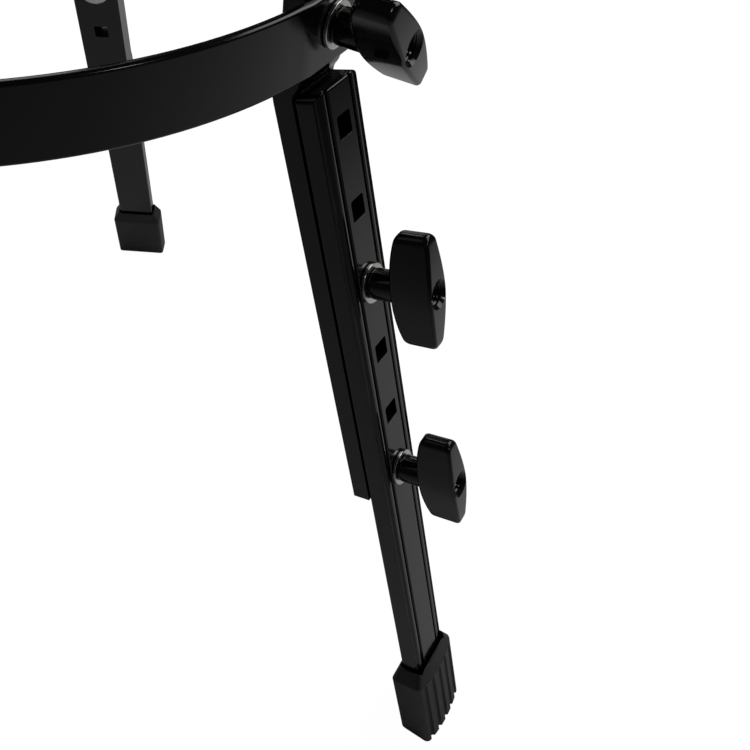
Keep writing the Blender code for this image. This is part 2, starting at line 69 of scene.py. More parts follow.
# Place of a leg: its first hole, on the outer face of the extension
LOWER_SEAT_RADIUS = 156.6 * MM
FIRST_HOLE_RADIUS = LOWER_SEAT_RADIUS + 8.1 * MM
FIRST_HOLE_HEIGHT = 334.6 * MM
LEAN = math.radians(16.6)
LEG_PLACE = Matrix.Translation((FIRST_HOLE_RADIUS, 0, FIRST_HOLE_HEIGHT)) @ Matrix.Rotation(-LEAN, 4, "Y")

# Sizes that more than one piece needs
EXTENSION_WIDTH = 26.4 * MM
EXTENSION_DEPTH = 10.2 * MM
EXTENSION_ABOVE_FIRST_HOLE = 15.0 * MM
FACE_RECESS = 0.5 * MM
BAR_WIDTH = 27.0 * MM
BAR_THICKNESS = 7.6 * MM
BAR_FRONT = -(EXTENSION_DEPTH + CLEARANCE)
BAR_REAR = BAR_FRONT - BAR_THICKNESS
HOLE_SIDE = 8.4 * MM
HOLE_CORNER = 0.9 * MM
HOLE_CHAMFER = 0.04 * MM
HOLE_PITCH = 32.0 * MM
HOLE_COUNT = 6
LAST_HOLE = (HOLE_COUNT - 1) * HOLE_PITCH
FOOT_TOP = 294.0 * MM
FOOT_POCKET = 332.0 * MM

# Hoops and where the bars meet them
BAND_HEIGHT = 25.0 * MM
BAND_THICKNESS = 3.4 * MM
BOLT_ABOVE_BAND_MIDDLE = 1.4 * MM
LOWER_BAND_BOTTOM = 354.2 * MM
FLARE = math.radians(8.5)
FLARE_HEIGHT = 200.0 * MM
BAR_FRONT_AT_LOWER = LOWER_SEAT_RADIUS - BAND_THICKNESS - CLEARANCE
BAR_FRONT_AT_UPPER = BAR_FRONT_AT_LOWER + FLARE_HEIGHT * math.tan(FLARE)
UPPER_SEAT_RADIUS = BAR_FRONT_AT_UPPER + CLEARANCE + BAND_THICKNESS
FLARE_BOTTOM = LOWER_BAND_BOTTOM + BAND_HEIGHT + 4.0 * MM
FLARE_TOP = FLARE_BOTTOM + FLARE_HEIGHT
UPPER_BAND_BOTTOM = FLARE_TOP + 4.0 * MM
BAR_TOP = UPPER_BAND_BOTTOM + BAND_HEIGHT + 22.0 * MM

# Washer and wing nut along their bolt, from the face that the washer lies on
WASHER_THICKNESS = 1.4 * MM
NUT_START = CLEARANCE + WASHER_THICKNESS + CLEARANCE
THREAD_PITCH = 1.25 * MM

Point2 = tuple[float, float]
Ring = list[Vector]

log = logging.getLogger("conga_stand")


class Finish(Enum):
    """The record's material slots."""

    PAINT = "black_paint"
    NUT = "black_nut_plating"
    ZINC = "zinc"
    RUBBER = "black_rubber"


class BoltPlace(Enum):
    """The four bolts of a leg, from the lowest up."""

    HEIGHT_LOWER = "height_lower"
    HEIGHT_UPPER = "height_upper"
    LOWER_HOOP = "lower_hoop"
    UPPER_HOOP = "upper_hoop"


def tidied(shape: bmesh.types.BMesh) -> bpy.types.Mesh:
    """Welds doubled points, turns the faces outwards and closes the working copy.

    Args:
        shape: the working copy; it is freed.

    Returns:
        The finished mesh.
    """
    bmesh.ops.remove_doubles(shape, verts=shape.verts, dist=0.002 * MM)
    bmesh.ops.recalc_face_normals(shape, faces=shape.faces)
    mesh = bpy.data.meshes.new("shape")
    shape.to_mesh(mesh)
    shape.free()
    return mesh


@dataclass
class Solid:
    """A closed mesh that can be moved, rounded, cut and joined."""

    mesh: bpy.types.Mesh

    @classmethod
    def loft(cls, rings: Iterable[Ring]) -> "Solid":
        """Builds a body through rings that hold the same number of points.

        Args:
            rings: the sections in order; the first and the last are closed flat.

        Returns:
            The closed body.
        """
        shape = bmesh.new()
        loops = [[shape.verts.new(point) for point in ring] for ring in rings]
        for lower, upper in zip(loops, loops[1:]):
            for index in range(len(lower)):
                after = (index + 1) % len(lower)
                shape.faces.new((lower[index], lower[after], upper[after], upper[index]))
        shape.faces.new(loops[0][::-1])
        shape.faces.new(loops[-1])
        return cls(tidied(shape))

    @classmethod
    def revolved(cls, section: list[Point2], segments: int) -> "Solid":
        """Turns a closed section round local X into a ring.

        Args:
            section: points as (distance along X, radius), closed on itself.
            segments: how many steps make the full turn.

        Returns:
            The closed ring.
        """
        shape = bmesh.new()
        loops = []
        for step in range(segments):
            turn = Matrix.Rotation(math.tau * step / segments, 3, "X")
            loops.append([shape.verts.new(turn @ Vector((x, 0, radius))) for x, radius in section])
        for step in range(segments):
            here = loops[step]
            there = loops[(step + 1) % segments]
            for index in range(len(section)):
                after = (index + 1) % len(section)
                shape.faces.new((here[index], here[after], there[after], there[index]))
        return cls(tidied(shape))

    @classmethod
    def evaluated(cls, item: bpy.types.Object) -> "Solid":
        """Turns an object with modifiers into a plain body and removes the object.

        Args:
            item: the object; its modifiers go with it.

        Returns:
            The body that the modifiers made.
        """
        graph = bpy.context.evaluated_depsgraph_get()
        made = bpy.data.meshes.new_from_object(item.evaluated_get(graph))
        bpy.data.objects.remove(item, do_unlink=True)
        shape = bmesh.new()
        shape.from_mesh(made)
        return cls(tidied(shape))

    def on_bench(self, name: str = "work") -> bpy.types.Object:
        """Puts the mesh in the scene while modifiers work on it.

        Args:
            name: name of the working object.

        Returns:
            The working object.
        """
        item = bpy.data.objects.new(name, self.mesh)
        bpy.context.scene.collection.objects.link(item)
        return item

    def moved(self, place: Matrix) -> "Solid":
        """Returns a copy of the body at another place."""
        mesh = self.mesh.copy()
        mesh.transform(place)
        return Solid(mesh)

    def rounded(self, radius: float, segments: int, angle_deg: float) -> "Solid":
        """Rounds the edges that are sharper than an angle.

        Args:
            radius: radius of the rounding.
            segments: faces across the rounding.
            angle_deg: only edges that turn by more are rounded.

        Returns:
            The rounded body.
        """
        item = self.on_bench()
        bevel = item.modifiers.new("round", "BEVEL")
        bevel.width = radius
        bevel.segments = segments
        bevel.limit_method = "ANGLE"
        bevel.angle_limit = math.radians(angle_deg)
        return Solid.evaluated(item)

    def combined(self, others: Iterable["Solid"], operation: str) -> "Solid":
        """Joins the body with others or cuts them out of it.

        Args:
            others: the other bodies.
            operation: UNION or DIFFERENCE.

        Returns:
            The result.
        """
        item = self.on_bench()
        helpers = []
        for other in others:
            helper = other.on_bench("cutter")
            helper.hide_render = True
            helpers.append(helper)
            boolean = item.modifiers.new("combine", "BOOLEAN")
            boolean.operation = operation
            boolean.solver = "EXACT"
            boolean.object = helper
        made = Solid.evaluated(item)
        for helper in helpers:
            bpy.data.objects.remove(helper, do_unlink=True)
        return made

    def shaded(self, sharp_deg: float) -> "Solid":
        """Shades the body smooth but for the edges that are sharper than an angle."""
        self.mesh.shade_smooth()
        self.mesh.set_sharp_from_angle(angle=math.radians(sharp_deg))
        item = self.on_bench()
        weigh = item.modifiers.new("weigh", "WEIGHTED_NORMAL")
        weigh.keep_sharp = True
        graph = bpy.context.evaluated_depsgraph_get()
        mesh = bpy.data.meshes.new_from_object(item.evaluated_get(graph))
        bpy.data.objects.remove(item, do_unlink=True)
        return Solid(mesh)


@dataclass
class Recipe:
    """A Geometry Nodes tree with named inputs, built in the script."""

    name: str
    tree: bpy.types.NodeTree = field(init=False)
    entry: bpy.types.Node = field(init=False)

    def __post_init__(self) -> None:
        self.tree = bpy.data.node_groups.new(self.name, "GeometryNodeTree")
        self.tree.interface.new_socket(name="Geometry", in_out="INPUT", socket_type="NodeSocketGeometry")
        self.tree.interface.new_socket(name="Geometry", in_out="OUTPUT", socket_type="NodeSocketGeometry")
        self.entry = self.tree.nodes.new("NodeGroupInput")

    def ask(self, name: str, kind: str = "NodeSocketFloat") -> bpy.types.NodeSocket:
        """Adds a named input.

        Args:
            name: name of the input.
            kind: its socket type.

        Returns:
            The socket that carries its value inside the tree.
        """
        self.tree.interface.new_socket(name=name, in_out="INPUT", socket_type=kind)
        return self.entry.outputs[name]

    def node(self, kind: str, inputs: dict | None = None, **settings) -> bpy.types.Node:
        """Adds a node.

        Args:
            kind: its type.
            inputs: values or sockets for its inputs, by name or number.
            settings: its properties.

        Returns:
            The new node.
        """
        made = self.tree.nodes.new(kind)
        for key, value in settings.items():
            setattr(made, key, value)
        for key, value in (inputs or {}).items():
            if isinstance(value, bpy.types.NodeSocket):
                self.tree.links.new(value, made.inputs[key])
            else:
                made.inputs[key].default_value = value
        return made

    def maths(self, operation: str, first, second=0.0) -> bpy.types.NodeSocket:
        """Adds a sum, product or the like and returns its result."""
        return self.node("ShaderNodeMath", {0: first, 1: second}, operation=operation).outputs[0]

    def close(self, geometry: bpy.types.NodeSocket, material: bpy.types.NodeSocket) -> None:
        """Ends the tree in plain geometry that carries its material."""
        real = self.node("GeometryNodeRealizeInstances", {"Geometry": geometry})
        painted = self.node("GeometryNodeSetMaterial", {"Geometry": real.outputs[0], "Material": material})
        self.node("NodeGroupOutput", {"Geometry": painted.outputs[0]})

    def run(self, base: Solid, values: dict) -> Solid:
        """Runs the tree on a mesh and returns the result as a plain body.

        Args:
            base: what the tree starts from.
            values: the inputs by name.

        Returns:
            The body that the tree made.
        """
        item = base.on_bench(self.name)
        modifier = item.modifiers.new(self.name, "NODES")
        modifier.node_group = self.tree
        for socket in self.tree.interface.items_tree:
            if socket.in_out == "INPUT" and socket.name in values:
                modifier[socket.identifier] = values[socket.name]
        return Solid.evaluated(item)


def line_mesh(points: list[Vector], closed: bool) -> Solid:
    """Strings points together with edges only, as a path for a recipe."""
    mesh = bpy.data.meshes.new("path")
    edges = [(index, index + 1) for index in range(len(points) - 1)]
    if closed:
        edges.append((len(points) - 1, 0))
    mesh.from_pydata([tuple(point) for point in points], edges, [])
    return Solid(mesh)


def band_recipe() -> Recipe:
    """A flat band with rounded edges that follows a level path."""
    recipe = Recipe("band_along_path")
    height = recipe.ask("Height")
    thickness = recipe.ask("Thickness")
    edge_radius = recipe.ask("Edge Radius")
    material = recipe.ask("Material", "NodeSocketMaterial")
    path = recipe.node("GeometryNodeMeshToCurve", {"Mesh": recipe.entry.outputs["Geometry"]})
    level = recipe.node("GeometryNodeSetCurveNormal", {"Curve": path.outputs["Curve"]}, mode="Z_UP")
    section = recipe.node(
        "GeometryNodeCurvePrimitiveQuadrilateral", {"Width": thickness, "Height": height}, mode="RECTANGLE"
    )
    soft = recipe.node(
        "GeometryNodeFilletCurve",
        {"Curve": section.outputs["Curve"], "Count": 5, "Radius": edge_radius},
        mode="POLY",
    )
    sweep = recipe.node(
        "GeometryNodeCurveToMesh",
        {"Curve": level.outputs["Curve"], "Profile Curve": soft.outputs["Curve"]},
    )
    recipe.close(sweep.outputs["Mesh"], material)
    return recipe


def hole_row_recipe() -> Recipe:
    """Copies of one cutter in a straight row downwards."""
    recipe = Recipe("row_of_holes")
    count = recipe.ask("Count", "NodeSocketInt")
    pitch = recipe.ask("Pitch")
    material = recipe.ask("Material", "NodeSocketMaterial")
    step = recipe.node("ShaderNodeCombineXYZ", {"Z": recipe.maths("MULTIPLY", pitch, -1.0)})
    row = recipe.node("GeometryNodeMeshLine", {"Count": count, "Offset": step.outputs[0]}, mode="OFFSET")
    copies = recipe.node(
        "GeometryNodeInstanceOnPoints",
        {"Points": row.outputs["Mesh"], "Instance": recipe.entry.outputs["Geometry"]},
    )
    recipe.close(copies.outputs["Instances"], material)
    return recipe


def groove_recipe() -> Recipe:
    """Copies of one groove cutter side by side, set on a face that bulges and droops."""
    recipe = Recipe("grooves_on_bulge")
    count = recipe.ask("Count", "NodeSocketInt")
    pitch = recipe.ask("Pitch")
    half_width = recipe.ask("Half Width")
    bulge = recipe.ask("Bulge")
    droop = recipe.ask("Droop")
    material = recipe.ask("Material", "NodeSocketMaterial")
    index = recipe.node("GeometryNodeInputIndex").outputs[0]
    last = recipe.maths("SUBTRACT", count, 1.0)
    from_middle = recipe.maths("SUBTRACT", index, recipe.maths("MULTIPLY", last, 0.5))
    side = recipe.maths("MULTIPLY", from_middle, pitch)
    share = recipe.maths("DIVIDE", side, half_width)
    swell = recipe.maths("SUBTRACT", 1.0, recipe.maths("MULTIPLY", share, share))
    out = recipe.maths("MULTIPLY", swell, bulge)
    down = recipe.maths("MULTIPLY", recipe.maths("MULTIPLY", swell, droop), -1.0)
    spot = recipe.node("ShaderNodeCombineXYZ", {"X": out, "Y": side, "Z": down})
    row = recipe.node("GeometryNodeMeshLine", {"Count": count}, mode="OFFSET")
    spread = recipe.node(
        "GeometryNodeSetPosition", {"Geometry": row.outputs["Mesh"], "Position": spot.outputs[0]}
    )
    copies = recipe.node(
        "GeometryNodeInstanceOnPoints",
        {"Points": spread.outputs["Geometry"], "Instance": recipe.entry.outputs["Geometry"]},
    )
    recipe.close(copies.outputs["Instances"], material)
    return recipe


def rounded_rectangle(low: Point2, high: Point2, radius: float, steps: int = 6) -> list[Point2]:
    """Outline of a rectangle with round corners.

    Args:
        low: its lower corner.
        high: its upper corner.
        radius: radius of the corners.
        steps: faces across each corner.

    Returns:
        The points, in order round the outline.
    """
    centres = (
        (high[0] - radius, high[1] - radius),
        (low[0] + radius, high[1] - radius),
        (low[0] + radius, low[1] + radius),
        (high[0] - radius, low[1] + radius),
    )
    points = []
    for corner, (x, y) in enumerate(centres):
        for step in range(steps + 1):
            angle = (corner + step / steps) * math.pi / 2
            points.append((x + radius * math.cos(angle), y + radius * math.sin(angle)))
    return points


def rounded_line(points: list[Point2], radius: float, steps: int) -> list[Point2]:
    """Gives every inner corner of a line a real bend.

    Args:
        points: the line's corners.
        radius: radius of the bends, less where a leg of the line is too short for it.
        steps: pieces in each bend.

    Returns:
        The line with its bends.
    """
    line = [points[0]]
    for before, here, after in zip(points, points[1:], points[2:]):
        corner = Vector(here)
        back = Vector(before) - corner
        ahead = Vector(after) - corner
        turn = math.pi - back.angle(ahead)
        reach = min(radius * math.tan(turn / 2), 0.45 * back.length, 0.45 * ahead.length)
        start = corner + back.normalized() * reach
        end = corner + ahead.normalized() * reach
        for step in range(steps + 1):
            share = step / steps
            first = start.lerp(corner, share)
            second = corner.lerp(end, share)
            line.append(tuple(first.lerp(second, share)))
    line.append(points[-1])
    return line


def offset_line(line: list[Point2], distance: float) -> list[Point2]:
    """Moves a line to its left, with mitred corners."""
    moved = []
    for index, point in enumerate(line):
        here = Vector(point)
        before = (here - Vector(line[index - 1])).normalized() if index else None
        after = (Vector(line[index + 1]) - here).normalized() if index < len(line) - 1 else before
        before = before or after
        left_1 = Vector((-before.y, before.x))
        left_2 = Vector((-after.y, after.x))
        mitre = (left_1 + left_2).normalized()
        moved.append(tuple(here + mitre * (distance / mitre.dot(left_1))))
    return moved


def thread_radius(root: float, depth: float, along: float, angle: float) -> float:
    """Radius of a screw thread at a place.

    Args:
        root: smallest radius.
        depth: how much higher the crest is.
        along: distance along the axis.
        angle: turn round the axis, in radians.

    Returns:
        The radius there.
    """
    phase = (along / THREAD_PITCH - angle / math.tau) % 1.0
    rise = 1 - abs(2 * phase - 1)
    return root + depth * min(1.0, max(0.0, 1.25 * rise - 0.125))


@dataclass
class Layout:
    """Where the pieces of the stand are in the shared frame."""

    axis: Vector

    def around(self, leg: int) -> Matrix:
        """Returns the turn from leg 1 to another leg, counted from zero."""
        return Matrix.Translation(self.axis) @ Matrix.Rotation(leg * math.tau / LEG_COUNT, 4, "Z")

    def bolt_face(self, place: BoltPlace) -> Matrix:
        """Returns the face under the washer of a bolt of leg 1, with X outwards."""
        upper_hole, lower_hole = 2, 5
        above = BAND_HEIGHT / 2 + BOLT_ABOVE_BAND_MIDDLE
        faces = {
            BoltPlace.HEIGHT_LOWER: LEG_PLACE @ Matrix.Translation((-FACE_RECESS, 0, -lower_hole * HOLE_PITCH)),
            BoltPlace.HEIGHT_UPPER: LEG_PLACE @ Matrix.Translation((-FACE_RECESS, 0, -upper_hole * HOLE_PITCH)),
            BoltPlace.LOWER_HOOP: Matrix.Translation((LOWER_SEAT_RADIUS, 0, LOWER_BAND_BOTTOM + above)),
            BoltPlace.UPPER_HOOP: Matrix.Translation((UPPER_SEAT_RADIUS, 0, UPPER_BAND_BOTTOM + above)),
        }
        return faces[place]


@dataclass
class Showroom:
    """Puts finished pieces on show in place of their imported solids."""

    finishes: dict[Finish, bpy.types.Material]

    def show(self, node: str, solid: Solid, finish: Finish, body: str = STAND_BODY) -> None:
        """Shows a piece.

        Args:
            node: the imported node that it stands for.
            solid: its mesh, in place.
            finish: its finish.
            body: the body that it rides.
        """
        mesh = solid.mesh
        mesh.materials.clear()
        mesh.materials.append(self.finishes[finish])
        for face in mesh.polygons:
            face.material_index = 0
        item = bpy.data.objects.new(f"{node}_shape", mesh)
        bpy.context.scene.collection.objects.link(item)
        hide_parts(node)
        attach(item, body)
        log.info("built %s: %d faces, %s", item.name, len(mesh.polygons), finish.value)


@dataclass
class Hoop:
    """A flat band bent into a hoop, with a straight seat and a hole at each leg."""

    node: str
    seat_radius: float
    bottom: float
    edge_radius: float = 1.3 * MM
    seat_set_in: float = 0.2 * MM
    seat_half_width: float = 13.0 * MM
    seat_blend: float = 5.0 * MM
    hole_diameter: float = 8.6 * MM
    steps: int = 56

    def middle_line(self) -> list[Vector]:
        """Returns the line half way through the band, seen from above."""
        circle = self.seat_radius + self.seat_set_in
        start = math.asin((self.seat_half_width + self.seat_blend) / circle)
        end = math.tau / LEG_COUNT - start
        height = self.bottom + BAND_HEIGHT / 2
        seat = self.seat_radius - BAND_THICKNESS / 2
        radius = circle - BAND_THICKNESS / 2
        points = []
        for leg in range(LEG_COUNT):
            turn = Matrix.Rotation(leg * math.tau / LEG_COUNT, 3, "Z")
            here = [Vector((seat, -self.seat_half_width, height)), Vector((seat, self.seat_half_width, height))]
            for step in range(self.steps + 1):
                angle = start + (end - start) * step / self.steps
                here.append(Vector((radius * math.cos(angle), radius * math.sin(angle), height)))
            points += [turn @ point for point in here]
        return points

    def build(self, recipe: Recipe) -> Solid:
        """Sweeps the band and drills its holes.

        Args:
            recipe: the band recipe.

        Returns:
            The hoop round the origin.
        """
        values = {"Height": BAND_HEIGHT, "Thickness": BAND_THICKNESS, "Edge Radius": self.edge_radius}
        band = recipe.run(line_mesh(self.middle_line(), closed=True), values)
        drill = round_bar(self.hole_diameter / 2, self.seat_radius - 10 * MM, self.seat_radius + 10 * MM)
        height = self.bottom + BAND_HEIGHT / 2 + BOLT_ABOVE_BAND_MIDDLE
        holes = []
        for leg in range(LEG_COUNT):
            turn = Matrix.Rotation(leg * math.tau / LEG_COUNT, 4, "Z")
            holes.append(drill.moved(turn @ Matrix.Translation((0, 0, height))))
        return band.combined(holes, "DIFFERENCE").shaded(40)


def round_ring(along: float, radius: float, points: int) -> Ring:
    """A circle round local X."""
    turns = [math.tau * index / points for index in range(points)]
    return [Vector((along, radius * math.cos(turn), radius * math.sin(turn))) for turn in turns]


def round_bar(radius: float, start: float, end: float, points: int = 40) -> Solid:
    """A plain cylinder along local X."""
    return Solid.loft([round_ring(start, radius, points), round_ring(end, radius, points)])


def square_hole_cutter(front: float, rear: float) -> Solid:
    """A square cutter with round corners that leaves a fine chamfer on both faces.

    Args:
        front: the outer face along local X.
        rear: the inner face along local X.

    Returns:
        The cutter round local X.
    """
    past = 0.6 * MM
    stations = (
        (rear - past, HOLE_CHAMFER + past),
        (rear + HOLE_CHAMFER, 0.0),
        (front - HOLE_CHAMFER, 0.0),
        (front + past, HOLE_CHAMFER + past),
    )
    rings = []
    for along, growth in stations:
        half = HOLE_SIDE / 2 + growth
        outline = rounded_rectangle((-half, -half), (half, half), HOLE_CORNER + growth)
        rings.append([Vector((along, y, z)) for y, z in outline])
    return Solid.loft(rings)


@dataclass
class FlatBar:
    """The main leg: a flat bar that leans below, stands upright at each hoop and flares between."""

    rounding: float = 1.2 * MM
    end_below_last_hole: float = 12.5 * MM
    joggle_height: float = 4.0 * MM
    bend_radius: float = 14.0 * MM

    def front_line(self) -> list[Point2]:
        """Returns the bar's front face seen from the side, from its lower end up."""
        bend = LEG_PLACE @ Vector((BAR_FRONT, 0, EXTENSION_ABOVE_FIRST_HOLE))
        end = LEG_PLACE @ Vector((BAR_FRONT, 0, -LAST_HOLE - self.end_below_last_hole))
        corners = [
            (end.x, end.z),
            (bend.x, bend.z),
            (BAR_FRONT_AT_LOWER, bend.z + self.joggle_height),
            (BAR_FRONT_AT_LOWER, FLARE_BOTTOM),
            (BAR_FRONT_AT_UPPER, FLARE_TOP),
            (BAR_FRONT_AT_UPPER, BAR_TOP),
        ]
        return rounded_line(corners, self.bend_radius, 6)

    def build(self, holes: Recipe) -> Solid:
        """Builds the bar with its holes.

        Args:
            holes: the recipe for the row of holes.

        Returns:
            The bar of leg 1.
        """
        front = self.front_line()
        rear = offset_line(front, BAR_THICKNESS)
        outline = front + rear[::-1]
        sides = (-BAR_WIDTH / 2, BAR_WIDTH / 2)
        body = Solid.loft([[Vector((x, side, z)) for x, z in outline] for side in sides])
        body = body.rounded(self.rounding, 4, 60)
        cutter = square_hole_cutter(BAR_FRONT, BAR_REAR)
        row = holes.run(cutter, {"Count": HOLE_COUNT, "Pitch": HOLE_PITCH}).moved(LEG_PLACE)
        cuts = [row]
        above = BAND_HEIGHT / 2 + BOLT_ABOVE_BAND_MIDDLE
        for radius, bottom in ((BAR_FRONT_AT_LOWER, LOWER_BAND_BOTTOM), (BAR_FRONT_AT_UPPER, UPPER_BAND_BOTTOM)):
            through = square_hole_cutter(radius, radius - BAR_THICKNESS)
            cuts.append(through.moved(Matrix.Translation((0, 0, bottom + above))))
        return body.combined(cuts, "DIFFERENCE").shaded(35)


@dataclass
class RailBar:
    """The extension: a bar whose outer face lies between two rounded rails, its top corners round."""

    rear_corner: float = 1.2 * MM
    wall_end: float = 2.75 * MM
    edge_line_depth: float = 1.3 * MM
    hollow: float = 0.5 * MM
    valley_depth: float = 2.1 * MM
    valley_outer: float = 12.3 * MM
    valley_inner: float = 11.3 * MM
    crest_outer: float = 10.4 * MM
    crest_middle: float = 9.35 * MM
    crest_inner: float = 8.45 * MM
    crest_depth: float = 0.7 * MM
    crest_drop: float = 0.15 * MM
    groove_outer: float = 8.1 * MM
    groove_inner: float = 7.2 * MM
    groove_depth: float = 1.9 * MM
    face_half_width: float = 6.7 * MM
    line_softness: float = 0.22 * MM
    end_rounding: float = 3.0 * MM
    end_edge: float = 0.7 * MM
    steps: int = 9

    def half_section(self) -> list[Point2]:
        """Returns the outline from the middle of the back to the middle of the face."""
        half = EXTENSION_WIDTH / 2
        points = [(-EXTENSION_DEPTH, 0.0)]
        for step in range(self.steps + 1):
            angle = step / self.steps * math.pi / 2
            x = -EXTENSION_DEPTH + self.rear_corner * (1 - math.cos(angle))
            points.append((x, half - self.rear_corner * (1 - math.sin(angle))))
        crest_edge = -self.crest_depth - self.crest_drop
        front = [
            points.pop(),
            (-self.wall_end, half),
            (-self.wall_end + 0.7 * self.hollow, half - self.hollow),
            (-self.edge_line_depth - 0.8 * self.hollow, half - self.hollow),
            (-self.edge_line_depth, half - 0.05 * MM),
            (-self.edge_line_depth + 0.1 * MM, half - 0.8 * self.hollow),
            (-self.valley_depth, self.valley_outer),
            (-self.valley_depth, self.valley_inner),
            (crest_edge, self.crest_outer),
            (-self.crest_depth, self.crest_middle),
            (crest_edge, self.crest_inner),
            (-self.groove_depth, self.groove_outer),
            (-self.groove_depth, self.groove_inner),
            (-FACE_RECESS - 0.1 * MM, self.face_half_width),
            (-FACE_RECESS, self.face_half_width - 0.2 * MM),
            (-FACE_RECESS, 0.0),
        ]
        return points + rounded_line(front, self.line_softness, 4)

    def ring(self, height: float, side_inset: float, edge_inset: float) -> Ring:
        """Returns the outline at a height.

        Args:
            height: how far up the leg.
            side_inset: how much is cut off at each side.
            edge_inset: how much the faces are drawn in.

        Returns:
            The ring in the leg's own frame.
        """
        limit = EXTENSION_WIDTH / 2 - side_inset
        side = [(x, min(y, limit)) for x, y in self.half_section()]
        whole = side + [(x, -y) for x, y in side[-2:0:-1]]
        middle = -EXTENSION_DEPTH / 2
        slim = 1 - edge_inset / (EXTENSION_DEPTH / 2)
        return [Vector((middle + (x - middle) * slim, y, height)) for x, y in whole]

    def build(self, holes: Recipe) -> Solid:
        """Builds the extension with its holes.

        Args:
            holes: the recipe for the row of holes.

        Returns:
            The extension in the leg's own frame.
        """
        top = EXTENSION_ABOVE_FIRST_HOLE
        rings = [self.ring(-FOOT_POCKET + CLEARANCE, 0.0, 0.0)]
        for step in range(self.steps + 1):
            angle = step / self.steps * math.pi / 2
            below_top = self.end_rounding * (1 - math.sin(angle))
            side_inset = self.end_rounding * (1 - math.cos(angle))
            part = max(0.0, 1 - below_top / self.end_edge)
            edge_inset = self.end_edge * (1 - math.sqrt(1 - part**2))
            rings.append(self.ring(top - below_top, side_inset, edge_inset))
        cutter = square_hole_cutter(-FACE_RECESS, -EXTENSION_DEPTH)
        row = holes.run(cutter, {"Count": HOLE_COUNT, "Pitch": HOLE_PITCH})
        return Solid.loft(rings).combined([row], "DIFFERENCE").shaded(30)


